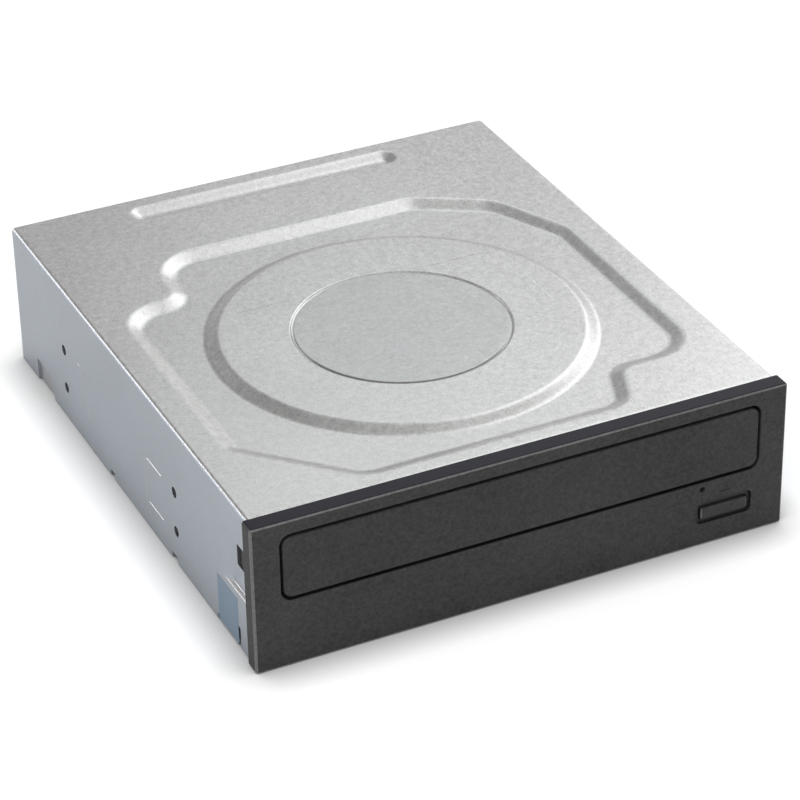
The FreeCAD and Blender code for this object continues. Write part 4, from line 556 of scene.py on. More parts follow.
# %% A maker for plastic and rubber finishes
DUST = (0.42, 0.41, 0.39, 1)


def plastic(name, colour, rough, grain_scale, contrast, bump, dust=0.0, specular=0.5):
    """Moulded plastic or rubber with fine grain and thin dust."""
    material, tree, shader = start_material(name, 0.0)
    shader.inputs["Specular IOR Level"].default_value = specular
    skin = use_group(tree, moulded, {"Grain Scale": grain_scale, "Contrast": contrast})
    base = blend_colours(tree, skin["Tone"], tint(colour, 0.45), tint(colour, 1.55))
    if dust:
        veil = use_group(tree, dusty, {"Amount": dust})
        base = blend_colours(tree, veil["Mask"], base, DUST)
    link_surface(tree, shader, base, skin["Tone"], rough, 0.05, bump, skin["Height"])
    return material


print("plastic maker ready")

# %% The drive's finishes
# Metals: colour, roughness, grain scale, contrast, bump, cloud, worn edges, brush lines.
METALS = {
    "zinc_sheet": ((0.60, 0.595, 0.59), 0.36, 1750.0, 1.7, 0.38, 0.06),
    # Painted shade: a bluer, slightly darker copy of the sheet's colour, for the folded sides and the rear
    # flange.
    "zinc_side_painted_shade": ((0.54, 0.58, 0.63), 0.36, 1800.0, 0.35, 0.10, 0.08),
    "zinc_floor": ((0.58, 0.59, 0.60), 0.42, 2300.0, 0.4, 0.2, 0.12),
    "screw_steel": ((0.60, 0.60, 0.61), 0.25, 3600.0, 0.15, 0.06, 0.05, 0.3),
    "rod_steel": ((0.74, 0.74, 0.76), 0.12, 3600.0, 0.06, 0.02, 0.04),
    "motor_steel": ((0.62, 0.63, 0.64), 0.30, 2600.0, 0.15, 0.05, 0.06, 0, 0.4),
    "plate_steel": ((0.58, 0.59, 0.60), 0.34, 2600.0, 0.25, 0.1, 0.08, 0, 0.3),
    "cast_metal": ((0.55, 0.56, 0.57), 0.5, 1400.0, 0.6, 0.3, 0.1),
    "pad_foil": ((0.52, 0.522, 0.522), 0.38, 1600.0, 1.3, 0.2, 0.05),
    "contact_gold": ((0.83, 0.62, 0.28), 0.22, 3600.0, 0.1, 0.03, 0.04)}
# Plastics: colour, roughness, grain scale, contrast, bump, dust, specular level.
PLASTICS = {
    "bezel_plastic": ((0.037, 0.037, 0.0365), 0.52, 1300.0, 2.6, 0.45, 0, 0.36),
    "door_plastic": ((0.036, 0.0355, 0.035), 0.50, 1300.0, 2.6, 0.45, 0, 0.34),
    "button_plastic": ((0.038, 0.038, 0.037), 0.46, 1300.0, 2.0, 0.35, 0, 0.36),
    # Painted highlight: a lighter copy of the bezel plastic, for its rounded edges and the button's sides.
    "edge_plastic": ((0.14, 0.137, 0.134), 0.42, 1300.0, 1.6, 0.3),
    # Painted shade: a darker, bluer copy of the bezel plastic, for its top face.
    "rim_plastic": ((0.014, 0.0137, 0.022), 0.50, 1300.0, 1.6, 0.35, 0, 0.22),
    # Painted reflection of the floor: a brighter copy of the bezel plastic, for its lower rounded edge.
    "foot_plastic": ((0.24, 0.225, 0.215), 0.4, 1300.0, 0.8, 0.2),
    # The eject sign's print colour, which also paints shade into the button's recess and the door gap.
    "sign_paint": ((0.016, 0.016, 0.017), 0.4, 1300.0, 1.0, 0.2),
    "frame_plastic": ((0.026, 0.026, 0.028), 0.45, 1500.0, 1.2, 0.25),
    "tray_plastic": ((0.024, 0.024, 0.025), 0.42, 1500.0, 1.2, 0.25, 0.03),
    "gear_plastic": ((0.78, 0.77, 0.72), 0.35, 1500.0, 0.12, 0.08),
    "clamp_plastic": ((0.70, 0.70, 0.68), 0.40, 1500.0, 0.12, 0.08),
    "turntable_plastic": ((0.05, 0.05, 0.055), 0.35, 1800.0, 0.4, 0.15),
    "switch_plastic": ((0.06, 0.06, 0.06), 0.4, 2400.0, 0.4, 0.15),
    "plug_plastic": ((0.02, 0.02, 0.021), 0.42, 1800.0, 0.8, 0.2),
    "chip_resin": ((0.03, 0.03, 0.031), 0.55, 3200.0, 0.5, 0.3),
    "belt_rubber": ((0.02, 0.02, 0.02), 0.75, 1600.0, 0.4, 0.2, 0.08, 0.3),
    "damper_rubber": ((0.05, 0.05, 0.06), 0.7, 1600.0, 0.4, 0.2, 0, 0.3),
    "seat_rubber": ((0.06, 0.06, 0.06), 0.75, 1600.0, 0.4, 0.25, 0, 0.3),
    "ribbon_film": ((0.72, 0.72, 0.69), 0.3, 900.0, 0.1, 0.05),
    "tape_film": ((0.18, 0.26, 0.35), 0.32, 1200.0, 0.1, 0.05),
    "lamp_resin": ((0.030, 0.032, 0.030), 0.3, 1500.0, 0.3, 0.03),
    "board_laminate": ((0.02, 0.17, 0.08), 0.22, 1400.0, 0.2, 0.08)}
finish = {name: metal(name, *row) for name, row in METALS.items()}
finish.update({name: plastic(name, *row) for name, row in PLASTICS.items()})
print("finishes:", len(finish))

# %% Glass of the objective lens
lens_glass, tree, shader = start_material("lens_glass", 0.0)
shader.inputs["Base Color"].default_value = (0.35, 0.5, 0.62, 1)
shader.inputs["Coat Weight"].default_value = 1.0
shader.inputs["IOR"].default_value = 1.6
smear = ramp(tree, noise(tree, object_place(tree), 900.0, 3.0), 0.3, 0.7, 0.03, 0.12)
tree.links.new(smear, shader.inputs["Roughness"])
finish["lens_glass"] = lens_glass
print("glass:", lens_glass.name)

# %% [markdown]
# ## Lid and sides
# One sheet is drawn into a lid and folded down into two sides and a short rear
# flange. The recessed panel, the raised ring, the seat of the pad and the rear
# bead are all one surface here, so that light runs over them as over one sheet.
# Solidify gives the sheet its thickness at the end.

# %% Outlines pressed into the lid
SHEET = 0.8
LID = lid_z / MM
FRONT_EDGE = case_low.y / MM
REAR_EDGE = case_high.y / MM
HALF_W = case_x / MM
LOW_EDGE = case_low.z / MM
FOLD_R = 1.2
SPINDLE = spindle_y / MM
PANEL = [
    (-65.3, 41.7, 13.0), (-47.2, 41.7, -4.0), (-47.2, 64.3, 14.0), (33.0, 64.3, 12.0),
    (54.0, 51.6, 14.0), (65.0, 28.0, 12.0), (65.0, -45.5, 13.0), (41.5, -45.5, -4.0),
    (35.0, -62.1, 9.0), (-39.5, -62.1, 12.0), (-65.3, -35.5, 7.0)]
PANEL_DEPTH, PANEL_SLOPE = 1.7, 5.0
RING_R, RING_SLOPE = 47.8, 4.4
PAD_R = pad_r / MM
PAD_SEAT_R, PAD_SEAT_SLOPE, PAD_SEAT_DEPTH = PAD_R + 0.35, 0.75, (lid_z - pad_low.z) / MM
BEAD = block_outline(82.0, 8.6, 4.0, 0.0, REAR_EDGE - 9.35)
BEAD_DEPTH, BEAD_SLOPE = 1.6, 3.8
STEPS_DOWN, ROUND_STEPS = 12, 144
panel_outline = [(x, y + SPINDLE, r) for x, y, r in PANEL]
print("panel corners:", len(PANEL))

# %% The drawn top
def drawn_wall(skin, outline, slope, z_top, depth, collar=0.25):
    """A wall drawn down inside an outline, with a flat collar above and below it."""
    profile = [(-collar, z_top)]
    for k in range(STEPS_DOWN + 1):
        s = k / STEPS_DOWN
        profile.append((slope * s, z_top - depth * wall_share(s)))
    profile.append((slope + collar, z_top - depth))
    rows = [skin.ring(trace(inset(outline, width)), on_lid(z)) for width, z in profile]
    skin.bands(rows)
    return rows[0], rows[-1]


def round_rows(skin, profile):
    """Bands through circles round the spindle, each with its radius and height."""
    rows = [skin.ring(circle(r, 0, SPINDLE, ROUND_STEPS), on_lid(z)) for r, z in profile]
    skin.bands(rows)
    return rows[0], rows[-1]


def round_wall(skin, r_low, r_high, z_low, z_high, steps=STEPS_DOWN, collar=0.25):
    """A round wall from a low radius to a high one, with flat collars."""
    side = collar if r_low > r_high else -collar
    profile = [(r_low + side, z_low)]
    for k in range(steps + 1):
        s = k / steps
        profile.append((r_low + (r_high - r_low) * s, z_low + (z_high - z_low) * wall_share(s)))
    profile.append((r_high - side, z_high))
    return round_rows(skin, profile)


lid = Skin()
panel_mouth, panel_foot = drawn_wall(lid, panel_outline, PANEL_SLOPE, LID, PANEL_DEPTH)
ring_foot, ring_brow = round_wall(lid, RING_R + RING_SLOPE, RING_R, LID - PANEL_DEPTH, LID)
bead_mouth, bead_foot = drawn_wall(lid, BEAD, BEAD_SLOPE, LID, BEAD_DEPTH)
seat_brow, seat_foot = round_wall(
    lid, PAD_SEAT_R, PAD_SEAT_R + PAD_SEAT_SLOPE, LID - PAD_SEAT_DEPTH, LID, 5, 0.1)
print("walls of the lid:", len(lid.faces), "faces")

# %% Thin scored lines, and the flats between the walls
def scored_line(points, width):
    """Outline of a thin line through flat points, as wide as width, in one turning sense."""
    left_side, right_side = [], []
    for i, (x, y) in enumerate(points):
        before, after = points[max(i - 1, 0)], points[min(i + 1, len(points) - 1)]
        dx, dy = heading(before, after)
        left_side.append((x - dy * width / 2, y + dx * width / 2))
        right_side.append((x + dy * width / 2, y - dx * width / 2))
    return left_side + right_side[::-1]


def scored(skin, points, width, depth, place_at):
    """A shallow V along a line, with a narrow floor. Gives its mouth, which cuts the flat round it."""
    mouth = skin.ring(scored_line(points, width), place_at(0))
    floor_row = skin.ring(scored_line(points, width * 0.3), place_at(depth))
    skin.band(mouth, floor_row)
    skin.fill(floor_row)
    return mouth


SCORE_W, SCORE_DEPTH = 0.34, 0.12
WITNESS_LINES = [
    ((-36.5, 12.0), (-20.6, 12.0)), ((21.0, 12.0), (37.0, 12.0)), ((41.5, -18.4), (41.5, -0.4))]
witness = [scored(lid, line, SCORE_W, SCORE_DEPTH, lambda d: on_lid(LID - d)) for line in WITNESS_LINES]
lid.fill(panel_foot, [ring_foot])
lid.fill(ring_brow, [seat_foot, *witness])
lid.fill(seat_brow)
lid.fill(bead_foot)
print("drawn top:", len(lid.faces), "faces so far")

# %% Folds along the sides and the rear
FOLD_STEPS = 6
BROW_L, BROW_DROP, BROW_STEPS = 1.1, 0.28, 4


def fold_row(out, front):
    """The lid's edge moved out round the fold, from the left front corner round the rear."""
    x = HALF_W - FOLD_R + out
    y = REAR_EDGE - FOLD_R + out
    corner = [(-x + out - out * cos, y - out + out * sin) for sin, cos in quarter(FOLD_STEPS)]
    right = [(-a, b) for a, b in reversed(corner)]
    return [(-x, front), *corner, *right, (x, front)]


fold_rows = []
for sin, cos in quarter(FOLD_STEPS):
    front = FRONT_EDGE if fold_rows else FRONT_EDGE + BROW_L
    fold_rows.append(lid.ring(fold_row(FOLD_R * sin, front), on_lid(LID - FOLD_R * (1 - cos))))
lid.bands(fold_rows, closed=False)
brow_x = HALF_W - FOLD_R
brow_rows = [[fold_rows[0][0], fold_rows[0][-1]]]
for k in range(1, BROW_STEPS + 1):
    s = k / BROW_STEPS
    y, z = FRONT_EDGE + BROW_L * (1 - s), LID - BROW_DROP * s * s
    brow_rows.append(lid.ring([(-brow_x, y), (brow_x, y)], on_lid(z)))
lid.bands(brow_rows, closed=False)
for end, fold_end in ((0, fold_rows[1][0]), (1, fold_rows[1][-1])):
    for a, b in zip(brow_rows, brow_rows[1:]):
        lid.faces.append((a[end], b[end], fold_end))
lid.fill(fold_rows[0], [panel_mouth, bead_mouth])
wall_top = LID - FOLD_R
print("fold rows:", len(fold_rows))

# %% Side walls with pocket, slots, screw holes and notches
POCKET_BACK, POCKET_RAMP = 17.0, 6.0
POCKET_LOW, POCKET_TOP, POCKET_DEPTH, POCKET_STEPS = 16.3, 31.0, 1.2, 8
SCREW_HOLES = [(47.4 + 79.25 * i, 10.0 + 11.84 * j) for i in range(2) for j in range(2)]
STAMPED_LINES = [
    [(116.0, 23.4), (112.6, 22.9), (110.7, 21.6), (110.0, 19.6), (110.0, 9.0)], [(68.0, 20.9), (68.0, 8.7)],
    [(66.4, 21.6), (56.5, 21.6)], [(66.4, 8.2), (56.5, 8.2)]]
# Start behind the front edge, length, height and corner radius of each notch.
NOTCHES = [
    (6.5, 2.0, 6.0, 0.9), (19.9, 1.2, 1.6, 0.3), (47.6, 3.8, 1.8, 0.4), (92.0, 3.0, 1.8, 0.4),
    (138.0, 13.0, 6.5, 0.6)]
wall_rear = REAR_EDGE - FOLD_R


def lower_edge():
    """The lower edge of a side from the front to the rear, with its notches, in the side's plane."""
    edge = []
    for start, length, height, r in NOTCHES:
        y0, y1 = FRONT_EDGE + start, FRONT_EDGE + start + length
        z1 = LOW_EDGE + height
        edge.append((y0, LOW_EDGE))
        edge += [(y0 + r - r * cos, z1 - r + r * sin) for sin, cos in quarter(4)]
        edge += [(y1 - r + r * sin, z1 - r + r * cos) for sin, cos in quarter(4)]
        edge.append((y1, LOW_EDGE))
    return edge


def pocket_chain(s):
    """Open outline of the latch pocket at a share s of its wall: top front, rear, bottom front."""
    narrow = 0.9 * s
    y_back = FRONT_EDGE + POCKET_BACK - POCKET_RAMP * s
    top, low = LOW_EDGE + POCKET_TOP - narrow + 0.3, LOW_EDGE + POCKET_LOW + narrow - 0.3
    r = 1.6 - 0.9 * s
    chain = [(FRONT_EDGE, top)]
    chain += [(y_back - r + r * sin, top - r + r * cos) for sin, cos in quarter(6)]
    chain += [(y_back - r + r * cos, low + r - r * sin) for sin, cos in quarter(6)]
    return chain + [(FRONT_EDGE, low)]


def side_wall(skin, side):
    """One side of the case, side is -1 for the left and 1 for the right."""
    def at(depth):
        return lambda y, z: (side * (HALF_W - depth), y, z)

    def hole(y, z, r):
        return skin.ring([(y + a, z + b) for a, b in circle(r, steps=32)], at(0))

    chains = []
    for k in range(POCKET_STEPS + 1):
        s = k / POCKET_STEPS
        chains.append(skin.ring(pocket_chain(s), at(POCKET_DEPTH * wall_share(s, 0.35))))
    skin.bands(chains, closed=False)
    slot = trace(block_outline(4.4, 6.0, 0.5, FRONT_EDGE + 7.0, LOW_EDGE + 26.0), 4)
    skin.fill(chains[-1], [skin.ring(slot, at(POCKET_DEPTH))])
    rim = [(FRONT_EDGE, wall_top), (wall_rear, wall_top), (wall_rear, LOW_EDGE)]
    rim += [*reversed(lower_edge()), (FRONT_EDGE, LOW_EDGE)]
    border = skin.ring(rim, at(0)) + chains[0][::-1]
    holes = [hole(FRONT_EDGE + y, LOW_EDGE + z, 1.5) for y, z in SCREW_HOLES]
    if side < 0:
        for line in STAMPED_LINES:
            path = [(FRONT_EDGE + y, LOW_EDGE + z) for y, z in line]
            holes.append(scored(skin, path, SCORE_W, SCORE_DEPTH, at))
    skin.fill(border, holes)


for side in (-1, 1):
    side_wall(lid, side)
print("sides done,", len(lid.points), "points")

# %% Rear flange, with its corners folded down to the foot
REAR_FLANGE = 10.0
RETURN_X = 71.0
flange_low = LID - REAR_FLANGE
rear_x = HALF_W - FOLD_R
right_half = [
    (rear_x, wall_top), (rear_x, LOW_EDGE), (RETURN_X, LOW_EDGE), (RETURN_X, flange_low + 1.0),
    (RETURN_X - 1.0, flange_low)]
left_half = [(-x, z) for x, z in right_half]
flange = [left_half[0], *right_half, *reversed(left_half[1:])]
lid.fill(lid.ring(flange, lambda x, z: (x, REAR_EDGE, z)))
for side in (-1, 1):
    bend = [(side * (rear_x + FOLD_R * cos), wall_rear + FOLD_R * sin) for sin, cos in quarter(FOLD_STEPS)]
    lid.band(lid.ring(bend, on_lid(wall_top)), lid.ring(bend, on_lid(LOW_EDGE)), closed=False)
lid_piece = lid.piece("lid_and_sides", finish["zinc_sheet"], outward=Vector((0, 0, 1)), sheet=SHEET)
print("lid_and_sides:", len(lid_piece.data.polygons), "faces")

# %% Painted shade on the sides, hidden node, and the body that it rides on
lid_piece.data.materials.append(finish["zinc_side_painted_shade"])
# Faces that look sideways or to the rear take the bluer copy of the sheet's colour: painted shade.
for face in lid_piece.data.polygons:
    if abs(face.normal.x) > 0.75 or abs(face.normal.y) > 0.75:
        face.material_index = 1
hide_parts("top_cover")
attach(lid_piece, "case")
print("lid box", [round(v, 4) for v in lid_piece.dimensions])

# %% [markdown]
# ## Front: bezel, tray door and button
# The bezel is a thin moulded shell. Its front is one flat face with soft outer
# edges, and every opening has a small radius that catches a line of light. The
# same stack of outlines makes the shell, the door and the button.

# %% Stacks of outlines that face the front
def on_front(y):
    """Place flat points (x, z) at a depth."""
    return lambda a, b: (a, y, b)


def stack(skin, rows, steps=CORNER_STEPS):
    """Bands through rows of (outline, y)."""
    rings = [skin.ring(trace(outline, steps), on_front(y)) for outline, y in rows]
    skin.bands(rings)
    return rings


def rounded(outline, r, y, side=-1, steps=4):
    """Rows of a rounded edge from the flat front: into an opening, or outwards where side is 1."""
    rows = [(inset(outline, side * (r + 0.3)), y)]
    return rows + [(inset(outline, side * r * (1 - sin)), y + r * (1 - cos)) for sin, cos in quarter(steps)]


def hole_outline(r, x, z):
    """A round opening as an outline of four corners."""
    return block_outline(2 * r, 2 * r, r * 0.999, x, z)


print("front tools ready")

# %% Bezel shell
BEZEL_W, BEZEL_H = (bezel_high.x - bezel_low.x) / MM, bezel_high.z / MM
FRONT = bezel_front / MM
BACK = bezel_back / MM
BEZEL_WALL = 2.0
EDGE_R = 0.8
LIP_R = 0.3
APERTURE_Z = 28.5
APERTURE = block_outline(133.0, 19.0, 3.0, 0, APERTURE_Z)
COLLAR = block_outline(135.4, 21.4, 4.2, 0, APERTURE_Z)
BUTTON_AT = (56.6, 9.3)
BUTTON_HOLE = block_outline(13.9, 3.9, 0.8, *BUTTON_AT)
RECESS = block_outline(15.9, 6.4, 1.4, 56.6, 9.6)
RECESS_DEPTH = 1.0
EJECT_HOLE = hole_outline(0.75, 50.0, 16.9)
LENS_HOLE = hole_outline(0.85, 43.4, 16.9)
EJECT_SIGN = [(56.75, 16.9, 0.1), (58.3, 14.7, 0.1), (55.2, 14.7, 0.1)]
SIGN_DEPTH = 0.2
body = block_outline(BEZEL_W, BEZEL_H, EDGE_R + 0.001, 0, BEZEL_H / 2)
inner_body = block_outline(BEZEL_W - 2 * BEZEL_WALL, BEZEL_H - 2 * BEZEL_WALL, 0.2, 0, BEZEL_H / 2)

bezel = Skin()
rows = rounded(body, EDGE_R, FRONT, 1, 5) + [(body, BACK - 0.3), (inset(body, 0.15), BACK)]
outside = stack(bezel, rows)
inside = stack(bezel, [(inner_body, BACK), (inner_body, FRONT + BEZEL_WALL)])
bezel.band(outside[-1], inside[0])
aperture = stack(bezel, rounded(APERTURE, LIP_R, FRONT) + [(APERTURE, BACK)])
collar = stack(bezel, [(COLLAR, BACK), (COLLAR, FRONT + BEZEL_WALL)])
bezel.band(aperture[-1], collar[0])
recess = stack(bezel, rounded(RECESS, 0.25, FRONT) + [(RECESS, FRONT + RECESS_DEPTH)])
button_hole = stack(bezel, [
    (inset(BUTTON_HOLE, -0.15), FRONT + RECESS_DEPTH), (BUTTON_HOLE, FRONT + RECESS_DEPTH + 0.15),
    (BUTTON_HOLE, FRONT + BEZEL_WALL)])
bezel.fill(recess[-1], [button_hole[0]])
small = [
    stack(bezel, rounded(outline, 0.15, FRONT) + [(outline, FRONT + BEZEL_WALL)])
    for outline in (EJECT_HOLE, LENS_HOLE)]
sign = stack(bezel, [(EJECT_SIGN, FRONT), (inset(EJECT_SIGN, 0.05), FRONT + SIGN_DEPTH)], 3)
bezel.fill(sign[-1])
bezel.fill(outside[0], [aperture[0], recess[0], small[0][0], small[1][0], sign[0]])
bezel.fill(inside[1], [collar[1], button_hole[-1], small[0][-1], small[1][-1]])
print("bezel shell:", len(bezel.faces), "faces")

# %% Ribs and snap hooks behind the bezel
RIBS_X, RIB_T, RIB_TOP = (-60, -40, -20, 0, 20, 36), 1.2, 17.8
# Hooks: outside of the arm, tip of the barb, start and end of the barb, lower and upper edge.
HOOKS = [(70.8, 71.8, -75.0, -71.0, 23.55, 29.15), (72.0, 72.8, -73.3, -71.7, 1.35, 6.15)]
HOOK_T, HOOK_TIP = 1.5, 0.2
for x in RIBS_X:
    bezel.box((x - RIB_T / 2, FRONT + BEZEL_WALL, BEZEL_WALL), (x + RIB_T / 2, BACK, RIB_TOP))
for side in (-1, 1):
    for x0, x1, y0, y1, z0, z1 in HOOKS:
        low_x, high_x = sorted((side * x0, side * (x0 - HOOK_T)))
        bezel.box((low_x, FRONT + BEZEL_WALL, z0), (high_x, y1, z1))
        barb = [(side * x0, y0), (side * x1, y0), (side * (x0 + HOOK_TIP), y1), (side * x0, y1)]
        bezel.prism(barb, z0, z1)
bezel_piece = bezel.piece("bezel", finish["bezel_plastic"])
print("bezel with ribs and hooks:", len(bezel_piece.data.polygons), "faces")

# %% Print, painted shade and painted highlights on the bezel's faces
def within(centre, x0, x1, z0, z1):
    """Whether a face's middle lies in a frame on the front, in millimetres."""
    return x0 < centre.x < x1 and z0 < centre.z < z1


for name in ("sign_paint", "rim_plastic", "edge_plastic", "foot_plastic"):
    bezel_piece.data.materials.append(finish[name])
for face in bezel_piece.data.polygons:
    centre = face.center / MM
    in_sign = abs(centre.y - FRONT - SIGN_DEPTH) < 0.01 and within(centre, 55.0, 58.5, 14.5, 17.0)
    in_recess = FRONT + 0.25 < centre.y < BACK - 0.5 and within(centre, 48.5, 64.7, 6.2, 12.9)
    in_gap = centre.y > FRONT + 0.12 and abs(centre.x) < 66.6 and 18.7 < centre.z < 19.3
    at_outer_edge = abs(centre.x) > BEZEL_W / 2 - 0.9 or abs(centre.z - BEZEL_H / 2) > BEZEL_H / 2 - 0.9
    # The eject sign is print. The button's recess and the lower wall of the tray opening take the same dark
    # colour: painted shade.
    if in_sign or in_recess or in_gap:
        face.material_index = 1
    # The bezel's top face gets the darker, bluer copy of the plastic: painted shade.
    elif face.normal.z > 0.8 and centre.z > BEZEL_H - 1:
        face.material_index = 2
    # Rounded brows near the outer edge get the lighter copy of the plastic: a painted highlight.
    elif -0.93 < face.normal.y < -0.15 and at_outer_edge:
        # Along the lower edge the copy is brighter still: a painted reflection of the floor.
        face.material_index = 4 if face.normal.z < -0.3 else 3
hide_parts("front_bezel")
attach(bezel_piece, "case")
by_finish = [sum(face.material_index == k for face in bezel_piece.data.polygons) for k in range(5)]
print("bezel faces by finish:", by_finish)

# %% Tray door
DOOR_T, DOOR_H, DOOR_BEVEL = 2.4, 17.2, 0.2
DOOR = block_outline((door_high.x - door_low.x) / MM - 0.2, DOOR_H, 2.4, 0, APERTURE_Z)
RIM_Z, BASE_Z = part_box("disc_tray")[1].z / MM, 24.95
SHELF_X, SHELF_T, SHELF_L = 59.5, 1.2, 3.0
door = Skin()
inner = FRONT + DOOR_T - DOOR_BEVEL
rows = rounded(DOOR, 0.35, FRONT, 1) + [(DOOR, inner), (inset(DOOR, DOOR_BEVEL), FRONT + DOOR_T)]
door_rows = stack(door, rows)
door.fill(door_rows[0])
door.fill(door_rows[-1])
for x0, z0 in ((-SHELF_X, RIM_Z), (-44.5, BASE_Z - SHELF_T)):
    door.box((x0, inner, z0), (SHELF_X, FRONT + DOOR_T + SHELF_L, z0 + SHELF_T))
door_piece = door.piece("door_of_the_tray", finish["door_plastic"])
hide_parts("tray_door")
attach(door_piece, "tray")
print("door:", len(door_piece.data.polygons), "faces")

# %% Eject button with a crowned cap
BUTTON = block_outline(13.4, 3.4, 0.7, *BUTTON_AT)
FLANGE = block_outline(15.0, 5.0, 0.6, *BUTTON_AT)
BUTTON_FRONT = button_low.y / MM
CROWN_IN, CROWN_DEEP, FLANGE_T = 0.45, 0.4, 0.8
button = Skin()
crown = [(inset(BUTTON, CROWN_IN + 0.1), BUTTON_FRONT)]
for sin, cos in quarter(5):
    crown.append((inset(BUTTON, CROWN_IN * (1 - sin)), BUTTON_FRONT + 0.02 + CROWN_DEEP * (1 - cos)))
flange_y = FRONT + BEZEL_WALL + 0.2
crown += [
    (BUTTON, flange_y), (FLANGE, flange_y + 0.001), (FLANGE, flange_y + FLANGE_T),
    (inset(FLANGE, 0.2), flange_y + FLANGE_T + 0.0001)]
button_rows = stack(button, crown)
button.fill(button_rows[0])
button.fill(button_rows[-1])
button.box((55.1, flange_y + 0.7, 8.1), (58.1, BACK + 0.1, 10.5))
button_piece = button.piece("button_cap", finish["button_plastic"])
button_piece.data.materials.append(finish["edge_plastic"])
# The sides of the button's crown get the lighter copy of the plastic: a painted highlight.
for face in button_piece.data.polygons:
    if abs(face.normal.x) > 0.35 and face.center.y / MM < BUTTON_FRONT + 0.45:
        face.material_index = 1
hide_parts("eject_button")
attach(button_piece, "button")
print("button:", len(button_piece.data.polygons), "faces")

# %% [markdown]
# ## Pad and tape on the sheet
# A round damping foil lies in the seat in the middle of the lid. A plain strip of
# film closes the seam at the lower left. Both are thin, so their rounded rims and
# slight waves matter more than their thickness.

# %% Damping pad
PAD_TOP, PAD_LOW = pad_high.z / MM, pad_low.z / MM
PAD_RIM = 0.18
pad = Skin()
profile = [(PAD_R - PAD_RIM - 0.4, PAD_TOP)]
profile += [(PAD_R - PAD_RIM * (1 - sin), PAD_TOP - PAD_RIM * (1 - cos)) for sin, cos in quarter(4)]
profile.append((PAD_R, PAD_LOW))
for row in round_rows(pad, profile):
    pad.fill(row)
pad_piece = pad.piece("round_damping_foil", finish["pad_foil"])
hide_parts("damping_pad")
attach(pad_piece, "case")
print("pad:", len(pad_piece.data.polygons), "faces")

# %% Strip of film over the seam
tape_low, tape_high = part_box("seal_tape")
TAPE_X = tape_high.x / MM
TAPE_T = (tape_high.x - tape_low.x) / MM
TAPE_CELLS = 28
tape = Skin()
y0, y1, z0, z1 = tape_low.y / MM, tape_high.y / MM, tape_low.z / MM, tape_high.z / MM
for i in range(TAPE_CELLS + 1):
    row = []
    for k in range(TAPE_CELLS + 1):
        u, v = i / TAPE_CELLS, k / TAPE_CELLS
        wave = 0.5 + 0.25 * math.sin(7 * u + 2 * v) + 0.25 * math.sin(3 * v - 5 * u * v)
        rim = min(u, v, 1 - u, 1 - v) * TAPE_CELLS
        lift = TAPE_T * (0.35 + 0.6 * wave * min(1.0, rim / 3))
        row.append((TAPE_X - lift, y0 + (y1 - y0) * u, z0 + (z1 - z0) * v))
    tape.points += row
    if i:
        last = len(tape.points) - TAPE_CELLS - 1
        before, here = (list(range(at, at + TAPE_CELLS + 1)) for at in (last - TAPE_CELLS - 1, last))
        tape.band(before, here, closed=False)
tape_piece = tape.piece("seam_film", finish["tape_film"], outward=Vector((-1, 0, 0)), sheet=0.03, crease=60)
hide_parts("seal_tape")
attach(tape_piece, "case")
print("film:", len(tape_piece.data.polygons), "faces")

# %% [markdown]
# ## Small repeated pieces with Geometry Nodes
# Screws, chip pins and plug contacts repeat one small shape. They could be copied
# in a loop, but a node tree keeps the sizes as named inputs: it takes the places
# as loose points, makes the shape once, sets a copy on each point and joins them.
# The places are read from the boxes of the solids that the pieces stand for.

# %% Boxes of a node's separate solids
def solids_of(name):
    """Lowest and highest corners of each separate solid of a CAD node, in metres."""
    form = bmesh.new()
    form.from_mesh(nodes[name].data)
    bmesh.ops.remove_doubles(form, verts=form.verts, dist=1e-6)
    left = set(form.verts)
    boxes = []
    while left:
        island = [left.pop()]
        for vert in island:
            for edge in vert.link_edges:
                other = edge.other_vert(vert)
                if other in left:
                    left.discard(other)
                    island.append(other)
        low = Vector([min(v.co[i] for v in island) for i in range(3)])
        high = Vector([max(v.co[i] for v in island) for i in range(3)])
        boxes.append((low, high))
    form.free()
    return sorted(boxes, key=lambda corners: tuple(round(v, 5) for v in corners[0]))


print("board chips:", len(solids_of("board_chips")))

# %% Tools for node trees
def geometry_tree(name, inputs):
    """A geometry node tree with named inputs (name: usual value) and one geometry out."""
    tree = bpy.data.node_groups.new(name, "GeometryNodeTree")
    tree.interface.new_socket("Geometry", in_out="INPUT", socket_type="NodeSocketGeometry")
    for title, usual in inputs.items():
        socket = tree.interface.new_socket(title, in_out="INPUT", socket_type="NodeSocketFloat")
        socket.default_value = usual
    tree.interface.new_socket("Finish", in_out="INPUT", socket_type="NodeSocketMaterial")
    tree.interface.new_socket("Geometry", in_out="OUTPUT", socket_type="NodeSocketGeometry")
    return tree, tree.nodes.new("NodeGroupInput").outputs, tree.nodes.new("NodeGroupOutput")


def joined(tree, parts):
    """Several geometries as one."""
    new = put(tree, "GeometryNodeJoinGeometry")
    for part in parts:
        tree.links.new(part, new.inputs[0])
    return new.outputs[0]


def moved(tree, geometry, **change):
    """A geometry moved, turned or scaled by linked or plain values."""
    return put(tree, "GeometryNodeTransform", {0: geometry, **change}).outputs[0]


def vector(tree, x=0.0, y=0.0, z=0.0):
    """A vector from three values."""
    return put(tree, "ShaderNodeCombineXYZ", {0: x, 1: y, 2: z}).outputs[0]


def cylinder(tree, vertices, radius, depth, middle):
    """A cylinder along z, moved to its middle."""
    shape = put(tree, "GeometryNodeMeshCylinder", {"Vertices": vertices, "Radius": radius, "Depth": depth})
    return moved(tree, shape.outputs["Mesh"], Translation=vector(tree, z=middle))


